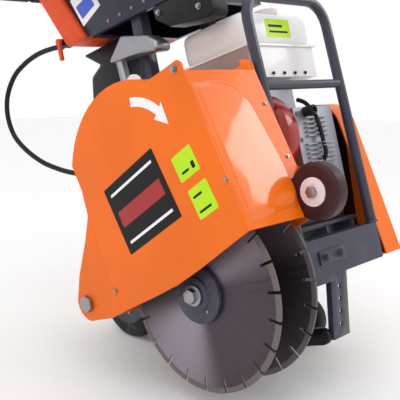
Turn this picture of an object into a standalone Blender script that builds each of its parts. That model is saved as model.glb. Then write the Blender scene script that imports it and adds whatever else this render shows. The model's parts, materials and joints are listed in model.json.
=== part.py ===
"""Walk-behind concrete saw with twin blades, an engine deck and a swinging blade guard.

Frame of the part: +X forward, +Y to the machine's left, +Z up, metres. The machine stands
on its four wheels with its nose raised by PITCH and its guard swung up by GUARD_OPEN.
Most pieces are drawn in the chassis frame, whose origin is where the blade shaft's axis
meets the outer blade: x runs along the deck, y along the shaft, z square to the deck.
"""
import bpy
import bmesh
from math import atan2, cos, degrees, hypot, pi, radians, sin, sqrt, tan
from mathutils import Matrix, Vector

# ---------------------------------------------------------------- driving dimensions
GAP = 0.0003                   # air between two pieces that touch
PITCH = radians(16.3)          # nose-up attitude of the chassis
GUARD_OPEN = radians(18.5)     # how far the guard is swung up from its working place
SHAFT_HEIGHT = 0.215           # blade shaft above the floor

BLADE_DIAMETER = 0.350
BLADE_THICKNESS = 0.0032
BLADE_SPACING = 0.095
SEGMENTS = 22
SLOT_DEPTH = 0.023
SLOT_WIDTH = 0.0048
SLOT_PHASE = radians(-2.9)       # turn of the blades where they stand
SHAFT_DIAMETER = 0.030
FLANGE_DIAMETER = 0.105
FLANGE_WIDTH = 0.010
SPACER_DIAMETER = 0.070
BOLT_ACROSS = 0.024            # hexagon of the shaft's end bolt

GUARD_OUTER_Y = -0.050         # outside of the guard's near wall
GUARD_INNER_Y = 0.125          # outside of the guard's far wall
GUARD_WALL = 0.003
PIVOT_X = -0.263               # guard pivot in the chassis frame
PIVOT_Z = 0.006
PIVOT_DIAMETER = 0.020
ROLLER_DIAMETER = 0.096
ROLLER_WIDTH = 0.032

DECK_LEFT = 0.385
DECK_RIGHT = 0.135
DECK_REAR = -0.300
DECK_FRONT = 0.090
DECK_Z = 0.062                 # underside of the deck
DECK_THICKNESS = 0.008
RAIL_THICKNESS = 0.010
RAIL_NEAR_Y = 0.180
RAIL_FAR_Y = 0.360

REAR_AXLE_X = -0.356           # behind the blade shaft, level with the floor
REAR_WHEEL_DIAMETER = 0.190
REAR_WHEEL_WIDTH = 0.045
REAR_WHEEL_NEAR_Y = 0.130
REAR_WHEEL_FAR_Y = 0.376
FRONT_AXLE_X = -0.060
FRONT_WHEEL_DIAMETER = 0.100
FRONT_WHEEL_WIDTH = 0.030
FRONT_WHEEL_NEAR_Y = 0.146
FRONT_WHEEL_FAR_Y = 0.380
AXLE_DIAMETER = 0.016
RUNNING = 0.0006               # radial air of a piece that turns on a pin

BEAM_FRONT = 0.130
BEAM_LOW = -0.022
BEAM_HIGH = 0.048
BEAM_RIGHT = 0.1256
BEAM_LEFT = 0.383
BEAM_PLATE = 0.006
CRASH_TUBE = 0.021
CRASH_TOP = 0.500
CRASH_BAR = 0.333
CRASH_NEAR_Y = 0.144
CRASH_FAR_Y = 0.386

LEG_TILT = radians(6.2)        # foot of the leg ahead of plumb
LEG_NEAR_Y = 0.220
LEG_WIDTH = 0.052
LEG_DEPTH = 0.012
LEG_HOLE = 0.008
LEG_PITCH = 0.024
ARM_THICKNESS = 0.010

CRANK_X = 0.025
CRANK_Z = 0.250
BED_Z = 0.138                  # top of the engine rails
DRIVE_PULLEY_DIAMETER = 0.076
DRIVEN_PULLEY_DIAMETER = 0.088
PULLEY_Y = 0.410
PULLEY_WIDTH = 0.036
BELT_WIDTH = 0.030
BELT_THICKNESS = 0.009
BELT_GUARD_Y = 0.402
BELT_GUARD_DEPTH = 0.056
BELT_GUARD_WALL = 0.003

POST_SIZE = 0.030
POST_X = -0.200
CONSOLE_Z = 0.560
HANDLE_TUBE = 0.028
HANDLE_NEAR_Y = 0.105
HANDLE_FAR_Y = 0.425
HOSE_DIAMETER = 0.012

ROUND = 32                     # sides of a large round piece
SMALL = 20                     # sides of a small one

ORANGE = (0.83, 0.16, 0.018, 1)
SLATE = (0.055, 0.055, 0.085, 1)
STEEL = (0.42, 0.40, 0.44, 1)
BLACK = (0.012, 0.012, 0.014, 1)
RUBBER = (0.020, 0.018, 0.018, 1)
MAROON = (0.060, 0.020, 0.022, 1)
WHITE = (0.85, 0.84, 0.82, 1)
RED = (0.35, 0.010, 0.012, 1)
ALUMINIUM = (0.55, 0.55, 0.57, 1)
NAVY = (0.035, 0.038, 0.075, 1)
TANK_RED = (0.72, 0.10, 0.030, 1)
HUB = (0.66, 0.54, 0.56, 1)


# ---------------------------------------------------------------- scene and helpers
def clear_scene():
    for obj in list(bpy.data.objects):
        bpy.data.objects.remove(obj, do_unlink=True)


clear_scene()
PARTS = bpy.data.collections.new("concrete_saw")
CUTTERS = bpy.data.collections.new("cutters")
bpy.context.scene.collection.children.link(PARTS)
bpy.context.scene.collection.children.link(CUTTERS)


def empty(name, parent=None, location=(0, 0, 0), turn=0.0):
    """An axis or frame that pieces hang from; turn is about the machine's side-to-side axis."""
    obj = bpy.data.objects.new(name, None)
    obj.empty_display_size = 0.03
    PARTS.objects.link(obj)
    obj.parent = parent
    obj.location = location
    obj.rotation_euler = (0, turn, 0)
    return obj


def paint(obj, color, roughness, metallic):
    """Give one piece its own Principled material."""
    material = bpy.data.materials.new(obj.name)
    material.use_nodes = True
    shader = material.node_tree.nodes["Principled BSDF"]
    shader.inputs["Base Color"].default_value = color
    shader.inputs["Roughness"].default_value = roughness
    shader.inputs["Metallic"].default_value = metallic
    obj.data.materials.clear()
    obj.data.materials.append(material)


LOOKS = {
    "orange paint": (ORANGE, 0.30, 0.0), "slate paint": (SLATE, 0.40, 0.1),
    "blade steel": (STEEL, 0.35, 0.9), "bright steel": (STEEL, 0.25, 1.0),
    "black plastic": (BLACK, 0.45, 0.0), "rubber": (RUBBER, 0.80, 0.0),
    "roller rubber": (MAROON, 0.60, 0.0), "white paint": (WHITE, 0.30, 0.0),
    "red paint": (RED, 0.30, 0.0), "cast aluminium": (ALUMINIUM, 0.40, 0.9),
    "navy paint": (NAVY, 0.35, 0.1), "red plastic": (TANK_RED, 0.40, 0.0),
    "pale plastic": (HUB, 0.50, 0.0),
}


def piece(name, mesh, parent, look, location=(0, 0, 0)):
    obj = bpy.data.objects.new(name, mesh)
    PARTS.objects.link(obj)
    obj.parent = parent
    obj.location = location
    paint(obj, *LOOKS[look])
    return obj


def mesh_from(shape, name):
    mesh = bpy.data.meshes.new(name)
    bmesh.ops.recalc_face_normals(shape, faces=shape.faces)
    shape.to_mesh(mesh)
    shape.free()
    return mesh


def box_mesh(name, low, high):
    shape = bmesh.new()
    bmesh.ops.create_cube(shape, size=1.0)
    size = Vector(high) - Vector(low)
    middle = (Vector(high) + Vector(low)) / 2
    bmesh.ops.transform(shape, matrix=Matrix.Translation(middle) @ Matrix.Diagonal((*size, 1)),
                        verts=shape.verts)
    return mesh_from(shape, name)


def rod_mesh(name, radius, start, end, x=0.0, z=0.0, sides=SMALL):
    """A cylinder along y from start to end, round the point x, z."""
    shape = bmesh.new()
    bmesh.ops.create_cone(shape, cap_ends=True, segments=sides, radius1=radius, radius2=radius,
                          depth=abs(end - start))
    turn = Matrix.Rotation(pi / 2, 4, "X")
    bmesh.ops.transform(shape, matrix=Matrix.Translation((x, (start + end) / 2, z)) @ turn,
                        verts=shape.verts)
    return mesh_from(shape, name)


def pole_mesh(name, radius, bottom, top, x=0.0, y=0.0, sides=SMALL):
    """A cylinder along z from bottom to top, round the point x, y."""
    shape = bmesh.new()
    bmesh.ops.create_cone(shape, cap_ends=True, segments=sides, radius1=radius, radius2=radius,
                          depth=top - bottom)
    bmesh.ops.transform(shape, matrix=Matrix.Translation((x, y, (bottom + top) / 2)),
                        verts=shape.verts)
    return mesh_from(shape, name)


def smooth(obj, angle=35):
    obj.data.shade_smooth()
    obj.data.set_sharp_from_angle(angle=radians(angle))
    return obj


def box(name, low, high, parent, look, bevel=0.0):
    obj = piece(name, box_mesh(name, low, high), parent, look)
    if bevel:
        soften(obj, bevel)
    return obj


def rod(name, radius, start, end, parent, look, x=0.0, z=0.0, sides=SMALL):
    return smooth(piece(name, rod_mesh(name, radius, start, end, x, z, sides), parent, look))


def soften(obj, width, segments=1):
    """Round the edges of a piece a little."""
    bevel = obj.modifiers.new("edges", "BEVEL")
    bevel.width = width
    bevel.segments = segments
    bevel.limit_method = "ANGLE"
    bevel.angle_limit = radians(40)


def boolean(obj, other, operation):
    change = obj.modifiers.new(operation.lower(), "BOOLEAN")
    change.operation = operation
    change.solver = "EXACT"
    change.object = other
    return obj


def tool(mesh, parent, location=(0, 0, 0)):
    """A hidden solid that cuts or adds to a piece."""
    obj = bpy.data.objects.new("tool_" + mesh.name, mesh)
    CUTTERS.objects.link(obj)
    obj.parent = parent
    obj.location = location
    obj.hide_render = True
    obj.display_type = "WIRE"
    return obj


def add(obj, mesh):
    return boolean(obj, tool(mesh, obj), "UNION")


def cut(obj, mesh):
    return boolean(obj, tool(mesh, obj), "DIFFERENCE")


def arc(x, z, radius, start, end, steps):
    """Points on an arc in the x, z plane, angles in degrees from +x towards +z."""
    return [(x + radius * cos(radians(start + (end - start) * i / steps)),
             z + radius * sin(radians(start + (end - start) * i / steps)))
            for i in range(steps + 1)]


def circle(x, z, radius, sides=SMALL):
    return arc(x, z, radius, 0, 360 - 360 / sides, sides - 1)


def plate_mesh(name, loops, start, end):
    """A flat plate from y = start to y = end; the first loop is its outline, the rest are holes."""
    curve = bpy.data.curves.new(name, "CURVE")
    curve.dimensions = "2D"
    curve.fill_mode = "BOTH"
    curve.extrude = abs(end - start) / 2
    for loop in loops:
        spline = curve.splines.new("POLY")
        spline.points.add(len(loop) - 1)
        for point, (x, z) in zip(spline.points, loop):
            point.co = (x, z, 0, 1)
        spline.use_cyclic_u = True
    guide = bpy.data.objects.new(name + "_outline", curve)
    CUTTERS.objects.link(guide)
    mesh = solid_mesh(guide, name)
    mesh.transform(Matrix.Translation((0, (start + end) / 2, 0)) @ Matrix.Rotation(pi / 2, 4, "X"))
    return mesh


def solid_mesh(guide, name):
    """Turn a curve object into a mesh whose caps are welded, and remove the curve."""
    bpy.context.view_layer.update()
    found = guide.evaluated_get(bpy.context.evaluated_depsgraph_get())
    raw = bpy.data.meshes.new_from_object(found)
    shape = bmesh.new()
    shape.from_mesh(raw)
    bmesh.ops.remove_doubles(shape, verts=shape.verts, dist=0.00001)
    bpy.data.objects.remove(guide, do_unlink=True)
    return mesh_from(shape, name)


def plate(name, loops, start, end, parent, look):
    return piece(name, plate_mesh(name, loops, start, end), parent, look)


def tube_mesh(name, points, radius, resolution=3):
    """A round tube with filled ends through the points."""
    curve = bpy.data.curves.new(name, "CURVE")
    curve.dimensions = "3D"
    curve.bevel_depth = radius
    curve.bevel_resolution = resolution
    curve.use_fill_caps = True
    spline = curve.splines.new("POLY")
    spline.points.add(len(points) - 1)
    for point, place in zip(spline.points, points):
        point.co = (*place, 1)
    guide = bpy.data.objects.new(name + "_route", curve)
    CUTTERS.objects.link(guide)
    return solid_mesh(guide, name)


def tube(name, points, radius, parent, look, resolution=3):
    return smooth(piece(name, tube_mesh(name, points, radius, resolution), parent, look), 50)


def rounded(points, radius, steps=5):
    """Replace each inner corner of a path by an arc-like bend of the given radius."""
    path = [Vector(points[0])]
    for before, corner, after in zip(points, points[1:], points[2:]):
        corner = Vector(corner)
        into = (Vector(before) - corner).normalized()
        out = (Vector(after) - corner).normalized()
        half = into.angle(out) / 2
        reach = radius / tan(half)
        middle = corner + (into + out).normalized() * radius / sin(half)
        first = corner + into * reach - middle
        last = corner + out * reach - middle
        for i in range(steps + 1):
            path.append(middle + first.normalized().slerp(last.normalized(), i / steps) * radius)
    path.append(Vector(points[-1]))
    return path


def turned(name, profile, parent, look, location=(0, 0, 0), sides=ROUND):
    """A solid turned about y; profile is (radius, y) pairs down its outer side."""
    shape = bmesh.new()
    verts = [shape.verts.new((radius, 0, -y)) for radius, y in profile]
    for first, second in zip(verts, verts[1:]):
        shape.edges.new((first, second))
    mesh = bpy.data.meshes.new(name)
    shape.to_mesh(mesh)
    shape.free()
    mesh.transform(Matrix.Rotation(pi / 2, 4, "X"))
    obj = piece(name, mesh, parent, look, location)
    screw = obj.modifiers.new("turn", "SCREW")
    screw.axis = "Y"
    screw.steps = sides
    screw.render_steps = sides
    screw.use_merge_vertices = True
    screw.merge_threshold = 0.00001
    screw.use_smooth_shade = True
    return obj


def wheel_profile(radius, width, bore, hub_radius, hub_width, dish):
    """Outer side of a wheel from one face of its bore, over the tread, to the other."""
    half, hub = width / 2, hub_width / 2
    rim = radius * 0.62
    return [(bore, hub), (hub_radius, hub), (hub_radius, half - dish), (rim, half - dish),
            (rim + 0.004, half), (radius * 0.90, half), (radius * 0.97, half * 0.80),
            (radius, half * 0.45), (radius, -half * 0.45), (radius * 0.97, -half * 0.80),
            (radius * 0.90, -half), (rim + 0.004, -half), (rim, dish - half),
            (hub_radius, dish - half), (hub_radius, -hub), (bore, -hub), (bore, hub)]


def level(x, z):
    """Chassis-frame place of a point given level with the floor, from the blade shaft."""
    return x * cos(PITCH) + z * sin(PITCH), z * cos(PITCH) - x * sin(PITCH)


# ---------------------------------------------------------------- frames and axes
SAW = empty("saw")
LEVEL = empty("level_frame", SAW)
CHASSIS = empty("chassis_frame_axis", SAW, turn=-PITCH)
GUARD = empty("guard_axis", CHASSIS, (PIVOT_X, 0, PIVOT_Z), -GUARD_OPEN)
REAR_X, REAR_Z = level(REAR_AXLE_X, REAR_WHEEL_DIAMETER / 2 - SHAFT_HEIGHT)
AXLE_X, AXLE_Z = level(FRONT_AXLE_X, FRONT_WHEEL_DIAMETER / 2 - SHAFT_HEIGHT)
ARM_PIVOT_X, ARM_PIVOT_Z = -0.233, -0.034

# ---------------------------------------------------------------- blade shaft and blades
HALF_BLADE = BLADE_THICKNESS / 2
FLANGE_OUT = -HALF_BLADE - GAP - FLANGE_WIDTH
INNER_FACE = BLADE_SPACING + HALF_BLADE + GAP
ROTOR = empty("blade_axis", CHASSIS)


def blade_outline():
    """Rim of a segmented blade: arcs between narrow slots that end in a round."""
    outer = BLADE_DIAMETER / 2
    half = SLOT_WIDTH / 2
    points = []
    for index in range(SEGMENTS):
        middle = SLOT_PHASE + 2 * pi * index / SEGMENTS
        edge = half / outer
        step = 2 * pi / SEGMENTS
        across = (-sin(middle), cos(middle))
        along = (cos(middle), sin(middle))
        for side, depth in ((-1, SLOT_DEPTH), (-0.6, SLOT_DEPTH + half * 0.8),
                            (0.6, SLOT_DEPTH + half * 0.8), (1, SLOT_DEPTH)):
            reach = outer - depth
            points.append((along[0] * reach + across[0] * half * side,
                           along[1] * reach + across[1] * half * side))
        for part in range(4):
            angle = middle + edge + (step - 2 * edge) * part / 3
            points.append((outer * cos(angle), outer * sin(angle)))
    return points


SHAFT_HOLE = SHAFT_DIAMETER / 2 + GAP
for blade_name, blade_y in (("blade_outer", 0.0), ("blade_inner", BLADE_SPACING)):
    plate(blade_name, [blade_outline(), circle(0, 0, SHAFT_HOLE)], blade_y - HALF_BLADE,
          blade_y + HALF_BLADE, ROTOR, "blade steel")

SHAFT_END = PULLEY_Y + PULLEY_WIDTH + 0.006
SHAFT_START = FLANGE_OUT - 0.004
rod("blade_shaft", SHAFT_DIAMETER / 2, SHAFT_START, SHAFT_END, ROTOR, "bright steel")
turned("outer_flange",
       [(SHAFT_HOLE, -HALF_BLADE - GAP), (FLANGE_DIAMETER / 2, -HALF_BLADE - GAP),
        (FLANGE_DIAMETER / 2, FLANGE_OUT + 0.002), (FLANGE_DIAMETER / 2 - 0.003, FLANGE_OUT),
        (0.0315, FLANGE_OUT), (0.0305, SHAFT_START), (SHAFT_HOLE, SHAFT_START),
        (SHAFT_HOLE, -HALF_BLADE - GAP)],
       ROTOR, "slate paint")
turned("blade_spacer",
       [(SHAFT_HOLE, BLADE_SPACING - HALF_BLADE - GAP), (FLANGE_DIAMETER / 2, BLADE_SPACING - HALF_BLADE - GAP),
        (FLANGE_DIAMETER / 2, BLADE_SPACING - HALF_BLADE - FLANGE_WIDTH),
        (SPACER_DIAMETER / 2, BLADE_SPACING - HALF_BLADE - FLANGE_WIDTH),
        (SPACER_DIAMETER / 2, HALF_BLADE + FLANGE_WIDTH), (FLANGE_DIAMETER / 2, HALF_BLADE + FLANGE_WIDTH),
        (FLANGE_DIAMETER / 2, HALF_BLADE + GAP), (SHAFT_HOLE, HALF_BLADE + GAP),
        (SHAFT_HOLE, BLADE_SPACING - HALF_BLADE - GAP)],
       ROTOR, "bright steel", sides=32)
turned("inner_flange",
       [(SHAFT_HOLE, INNER_FACE + FLANGE_WIDTH + 0.006), (0.030, INNER_FACE + FLANGE_WIDTH + 0.006),
        (0.030, INNER_FACE + FLANGE_WIDTH), (FLANGE_DIAMETER / 2, INNER_FACE + FLANGE_WIDTH),
        (FLANGE_DIAMETER / 2, INNER_FACE), (SHAFT_HOLE, INNER_FACE),
        (SHAFT_HOLE, INNER_FACE + FLANGE_WIDTH + 0.006)],
       ROTOR, "bright steel", sides=32)
BOLT_HEAD = 0.010
bolt = rod("shaft_bolt", 0.019, SHAFT_START - GAP - 0.004, SHAFT_START - GAP, ROTOR, "bright steel")
add(bolt, rod_mesh("hexagon", BOLT_ACROSS / sqrt(3), SHAFT_START - GAP - 0.004 - BOLT_HEAD,
                   SHAFT_START - GAP - 0.003, sides=6))


def pulley(name, radius, parent, bore):
    """A belt pulley with two side cheeks and a flat band for the belts."""
    band = radius - BELT_THICKNESS
    cheek = (PULLEY_WIDTH - BELT_WIDTH) / 2 - GAP
    end = PULLEY_Y + PULLEY_WIDTH
    return turned(name, [(bore, end), (radius, end), (radius, end - cheek), (band, end - cheek),
                         (band, PULLEY_Y + cheek), (radius, PULLEY_Y + cheek), (radius, PULLEY_Y),
                         (bore, PULLEY_Y), (bore, end)], parent, "slate paint", sides=32)


CRANK = empty("crank_axis", CHASSIS, (CRANK_X, 0, CRANK_Z))
pulley("driven_pulley", DRIVEN_PULLEY_DIAMETER / 2, ROTOR, SHAFT_HOLE)
CRANK_RADIUS = 0.010
pulley("drive_pulley", DRIVE_PULLEY_DIAMETER / 2, CRANK, CRANK_RADIUS + GAP)
rod("crankshaft", CRANK_RADIUS, 0.352, PULLEY_Y + PULLEY_WIDTH + 0.004, CRANK, "bright steel")


def belt_outline(extra):
    """Tight loop round both pulleys' bands, standing out from them by extra."""
    big = DRIVEN_PULLEY_DIAMETER / 2 - BELT_THICKNESS + extra
    small = DRIVE_PULLEY_DIAMETER / 2 - BELT_THICKNESS + extra
    length = hypot(CRANK_X, CRANK_Z)
    lean = degrees(atan2(CRANK_Z, CRANK_X))
    splay = degrees(atan2(big - small, length))
    return (arc(0, 0, big, lean + 90 + 0 - splay, lean + 270 + splay, 18)
            + arc(CRANK_X, CRANK_Z, small, lean - 90 + splay, lean + 90 - splay, 14))


plate("drive_belt", [belt_outline(BELT_THICKNESS - GAP), belt_outline(RUNNING)],
      PULLEY_Y + (PULLEY_WIDTH - BELT_WIDTH) / 2, PULLEY_Y + (PULLEY_WIDTH + BELT_WIDTH) / 2,
      CHASSIS, "rubber")

# ---------------------------------------------------------------- guard
GUARD_LOW = -0.060
GUARD_ARC = (0.259, 0.118, 0.186)
LOBE = 0.038
ROLLER_X, ROLLER_Z = 0.489, -0.030
ROLLER_Y = 0.092
SLOT_HALF = SHAFT_DIAMETER / 2 + 0.014
SHAFT_REACH = hypot(PIVOT_X, PIVOT_Z)
SHAFT_CLOSED_X = sqrt(SHAFT_REACH ** 2 - PIVOT_Z ** 2)


def guard_outline(inset):
    """Side of the guard round its pivot: lobe, waist, round back, roof dip and square nose."""
    x, z, radius = GUARD_ARC
    back = arc(x, z, radius - inset, 139, 46, 14)
    return (arc(0.004, 0.002, LOBE - inset, 265, 155, 6)
            + [(0.006 + inset, 0.057), (0.067 + inset, 0.105 - inset * 0.5),
               (0.104 + inset, 0.140), (0.117 + inset, 0.188)] + back
            + [(0.402, 0.248 - inset), (0.420, 0.245 - inset), (0.468, 0.238 - inset),
               (0.474 - inset, 0.229 - inset), (0.471 - inset, 0.214), (0.463 - inset, 0.093),
               (0.453 - inset, GUARD_LOW + 0.004), (0.256, GUARD_LOW - 0.006),
               (0.052, GUARD_LOW + 0.010)])


def guard_inside():
    """Hollow of the guard: the outline drawn in by the wall, run out through the bottom."""
    x, z, radius = GUARD_ARC
    wall = GUARD_WALL
    return (arc(x, z, radius - wall, 139, 46, 14)
            + [(0.392, 0.2345), (0.4685, 0.2135), (0.463 - wall, 0.093),
               (0.453 - wall, GUARD_LOW + 0.004), (0.452 - wall, GUARD_LOW - 0.03), (0.075, GUARD_LOW - 0.03),
               (0.075, 0.080), (0.104 + wall, 0.140), (0.117 + wall, 0.188)])


guard = plate("guard_shell", [guard_outline(0)], GUARD_OUTER_Y, GUARD_INNER_Y, GUARD, "orange paint")
cut(guard, plate_mesh("guard_hollow", [guard_inside()], GUARD_OUTER_Y + GUARD_WALL,
                      GUARD_INNER_Y - GUARD_WALL))
cut(guard, plate_mesh("roof_slope", [[(0.395, 0.2375), (0.490, 0.2110), (0.490, 0.290), (0.395, 0.290)]],
                      GUARD_OUTER_Y + GUARD_WALL, GUARD_INNER_Y - GUARD_WALL))
cut(guard, plate_mesh("lobe_hollow", [[(-0.060, -0.060), (0.060, -0.080), (0.090, 0.000), (0.072, 0.072),
                                       (0.030, 0.060), (-0.060, 0.090)]],
                      GUARD_OUTER_Y + GUARD_WALL, GUARD_INNER_Y - GUARD_WALL))
cut(guard, rod_mesh("pivot_hole", PIVOT_DIAMETER / 2 + RUNNING, GUARD_OUTER_Y - 0.01,
                    GUARD_INNER_Y + 0.01))
cut(guard, plate_mesh("shaft_slot", [[(0.247 - SLOT_HALF, GUARD_LOW - 0.03),
                                      (SHAFT_CLOSED_X + SLOT_HALF + 0.004, GUARD_LOW - 0.03)]
                                     + arc(SHAFT_CLOSED_X, 0.0, SLOT_HALF + 0.004, 0, 180, 12)
                                     + [(0.247 - SLOT_HALF, -0.020)]],
                      GUARD_INNER_Y - GUARD_WALL - 0.005, GUARD_INNER_Y + 0.005))
add(guard, plate_mesh("nose_corner", [[(0.4670, 0.200), (0.4700, 0.200), (0.4715, 0.237), (0.4685, 0.237)]],
                      0.098, GUARD_INNER_Y - GAP))
add(guard, plate_mesh("roller_ear", [[(0.400, 0.040), (0.440, 0.052)]
                                     + arc(ROLLER_X, ROLLER_Z, 0.020, 70, -70, 6)
                                     + [(0.440, -0.058), (0.400, -0.055)]],
                      GUARD_INNER_Y - GUARD_WALL + GAP, GUARD_INNER_Y - GAP))
cut(guard, rod_mesh("roller_hole", 0.006 + GAP, GUARD_INNER_Y - 0.02, GUARD_INNER_Y + 0.02,
                    ROLLER_X, ROLLER_Z, 16))
# room for the roller in the guard's nose
cut(guard, rod_mesh("roller_room", ROLLER_DIAMETER / 2 + 0.004, ROLLER_Y - 0.004,
                    GUARD_INNER_Y - GUARD_WALL + GAP / 2, ROLLER_X, ROLLER_Z, 24))

ROLLER = empty("roller_axis", GUARD, (ROLLER_X, 0, ROLLER_Z))
HUB_RADIUS = 0.024
ROLLER_END = GUARD_INNER_Y - GUARD_WALL - 0.0015
ROLLER_START = ROLLER_END - ROLLER_WIDTH
ROLLER_BORE = 0.006 + RUNNING
rolling = ROLLER_DIAMETER / 2
turned("roller_hub", [(ROLLER_BORE, ROLLER_END), (HUB_RADIUS, ROLLER_END),
                      (HUB_RADIUS, ROLLER_START - 0.002), (ROLLER_BORE, ROLLER_START - 0.002),
                      (ROLLER_BORE, ROLLER_END)], ROLLER, "pale plastic", sides=28)
turned("roller_tyre", [(HUB_RADIUS + GAP, ROLLER_END), (rolling - 0.005, ROLLER_END),
                       (rolling, ROLLER_END - 0.005), (rolling, ROLLER_START + 0.005),
                       (rolling - 0.005, ROLLER_START), (HUB_RADIUS + GAP, ROLLER_START),
                       (HUB_RADIUS + GAP, ROLLER_END)], ROLLER, "roller rubber")
axle = rod("roller_bolt", 0.006, ROLLER_START - 0.004, GUARD_INNER_Y + 0.002, ROLLER, "bright steel")
add(axle, rod_mesh("roller_bolt_head", 0.010, ROLLER_START - 0.008, ROLLER_START - 0.0032, sides=6))

# lug with a hole on the guard's round back, for lifting it by hand
lug_x, lug_z, lug_reach = GUARD_ARC
LUG_ANGLE = 84
lug_top = (lug_x + lug_reach * cos(radians(LUG_ANGLE)), lug_z + (lug_reach + 0.010) * sin(radians(LUG_ANGLE)))
plate("guard_lug", [arc(lug_top[0], lug_top[1], 0.022, 0, 180, 8)
                    + [(lug_top[0] - 0.022, lug_top[1] - 0.008), (lug_top[0] + 0.022, lug_top[1] - 0.008)],
                    circle(lug_top[0], lug_top[1], 0.009, 16)],
      0.030, 0.036, GUARD, "white paint")

PIN_END = RAIL_NEAR_Y - GAP
pin = rod("guard_pivot_pin", PIVOT_DIAMETER / 2, GUARD_OUTER_Y - 0.002, PIN_END, CHASSIS, "bright steel",
          PIVOT_X, PIVOT_Z, 24)
add(pin, rod_mesh("pivot_head", 0.017, GUARD_OUTER_Y - 0.009, GUARD_OUTER_Y - 0.0012, PIVOT_X, PIVOT_Z, 6))
add(pin, rod_mesh("pivot_collar", 0.017, GUARD_INNER_Y + 0.001, PIN_END, PIVOT_X, PIVOT_Z, 24))

# ---------------------------------------------------------------- chassis
deck = box("deck_plate", (DECK_REAR, DECK_RIGHT, DECK_Z), (DECK_FRONT, DECK_LEFT, DECK_Z + DECK_THICKNESS),
           CHASSIS, "slate paint", 0.0015)


def rail_outline():
    """Side of a rail: a strip below the deck that drops to the rear axle and the arm pivot."""
    return [(DECK_FRONT, DECK_Z - GAP), (DECK_FRONT, DECK_Z - 0.040), (-0.180, DECK_Z - 0.040),
            (ARM_PIVOT_X + 0.022, ARM_PIVOT_Z - 0.004), (ARM_PIVOT_X + 0.012, ARM_PIVOT_Z - 0.020),
            (ARM_PIVOT_X - 0.014, ARM_PIVOT_Z - 0.020), (REAR_X + 0.020, REAR_Z - 0.024),
            (REAR_X - 0.020, REAR_Z - 0.024), (REAR_X - 0.028, REAR_Z), (DECK_REAR - 0.006, DECK_Z - GAP)]


for rail_name, rail_y in (("side_rail_near", RAIL_NEAR_Y), ("side_rail_far", RAIL_FAR_Y)):
    plate(rail_name, [rail_outline(), circle(REAR_X, REAR_Z, AXLE_DIAMETER / 2 + GAP),
                      circle(ARM_PIVOT_X, ARM_PIVOT_Z, AXLE_DIAMETER / 2 + GAP)],
          rail_y, rail_y + RAIL_THICKNESS, CHASSIS, "slate paint")

box("engine_bed", (-0.150, RAIL_NEAR_Y, DECK_Z + DECK_THICKNESS + GAP), (0.064, 0.365, BED_Z), CHASSIS,
    "slate paint", 0.002)

HOUSING_WIDTH = 0.030
HOUSING_RADIUS = 0.038
for housing_name, housing_y in (("bearing_housing_near", 0.142), ("bearing_housing_far", 0.328)):
    housing = rod(housing_name, HOUSING_RADIUS, housing_y, housing_y + HOUSING_WIDTH, CHASSIS,
                  "cast aluminium", sides=32)
    add(housing, box_mesh("foot", (-HOUSING_RADIUS - 0.012, housing_y + 0.001, 0.022),
                          (HOUSING_RADIUS + 0.012, housing_y + HOUSING_WIDTH - 0.001, DECK_Z - GAP)))
    cut(housing, rod_mesh("bore", SHAFT_DIAMETER / 2 + RUNNING, housing_y - 0.01,
                          housing_y + HOUSING_WIDTH + 0.01, sides=SMALL))

rod("rear_axle", AXLE_DIAMETER / 2, REAR_WHEEL_NEAR_Y - 0.010, REAR_WHEEL_FAR_Y + REAR_WHEEL_WIDTH + 0.010,
    CHASSIS, "bright steel", REAR_X, REAR_Z)
rod("arm_pivot_pin", AXLE_DIAMETER / 2, RAIL_NEAR_Y - 0.006, RAIL_FAR_Y + RAIL_THICKNESS + 0.006,
    CHASSIS, "bright steel", ARM_PIVOT_X, ARM_PIVOT_Z)
for wheel_name, wheel_y in (("rear_wheel_near", REAR_WHEEL_NEAR_Y), ("rear_wheel_far", REAR_WHEEL_FAR_Y)):
    hub = empty(wheel_name + "_axis", CHASSIS, (REAR_X, wheel_y + REAR_WHEEL_WIDTH / 2, REAR_Z))
    turned(wheel_name, wheel_profile(REAR_WHEEL_DIAMETER / 2, REAR_WHEEL_WIDTH, AXLE_DIAMETER / 2 + RUNNING,
                                     0.022, REAR_WHEEL_WIDTH + 0.004, 0.010), hub, "rubber")

# ---------------------------------------------------------------- front beam, leg and swinging axle
beam = box("front_beam", (BEAM_FRONT - BEAM_PLATE, BEAM_RIGHT, BEAM_LOW), (BEAM_FRONT, BEAM_LEFT, BEAM_HIGH),
           CHASSIS, "slate paint")
add(beam, box_mesh("beam_top", (DECK_FRONT + GAP, BEAM_RIGHT, BEAM_HIGH - BEAM_PLATE),
                   (BEAM_FRONT - 0.001, BEAM_LEFT, BEAM_HIGH)))
for side_y in (BEAM_RIGHT, BEAM_LEFT - BEAM_PLATE):
    add(beam, box_mesh("beam_cheek", (DECK_FRONT + GAP, side_y, BEAM_LOW + 0.010),
                       (BEAM_FRONT - 0.001, side_y + BEAM_PLATE, BEAM_HIGH - 0.001)))
soften(beam, 0.0012)

LEG = empty("leg_axis", LEVEL, (0.119, LEG_NEAR_Y, -0.002), -LEG_TILT)
LEG_FOOT = -0.112
LEG_TOP = 0.056
leg = box("depth_leg", (-LEG_DEPTH, 0, LEG_FOOT), (0, LEG_WIDTH, LEG_TOP), LEG, "slate paint")
cut(leg, box_mesh("leg_channel", (-LEG_DEPTH - 0.01, 0.003, LEG_FOOT - 0.01),
                  (-0.004, LEG_WIDTH - 0.003, LEG_TOP + 0.01)))
for index in range(4):
    hole_z = -0.014 - LEG_PITCH * index
    shape = bmesh.new()
    bmesh.ops.create_cone(shape, cap_ends=True, segments=12, radius1=LEG_HOLE / 2, radius2=LEG_HOLE / 2,
                          depth=0.03)
    place = Matrix.Translation((0, LEG_WIDTH / 2, hole_z)) @ Matrix.Rotation(pi / 2, 4, "Y")
    bmesh.ops.transform(shape, matrix=place, verts=shape.verts)
    cut(leg, mesh_from(shape, "leg_hole"))
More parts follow.
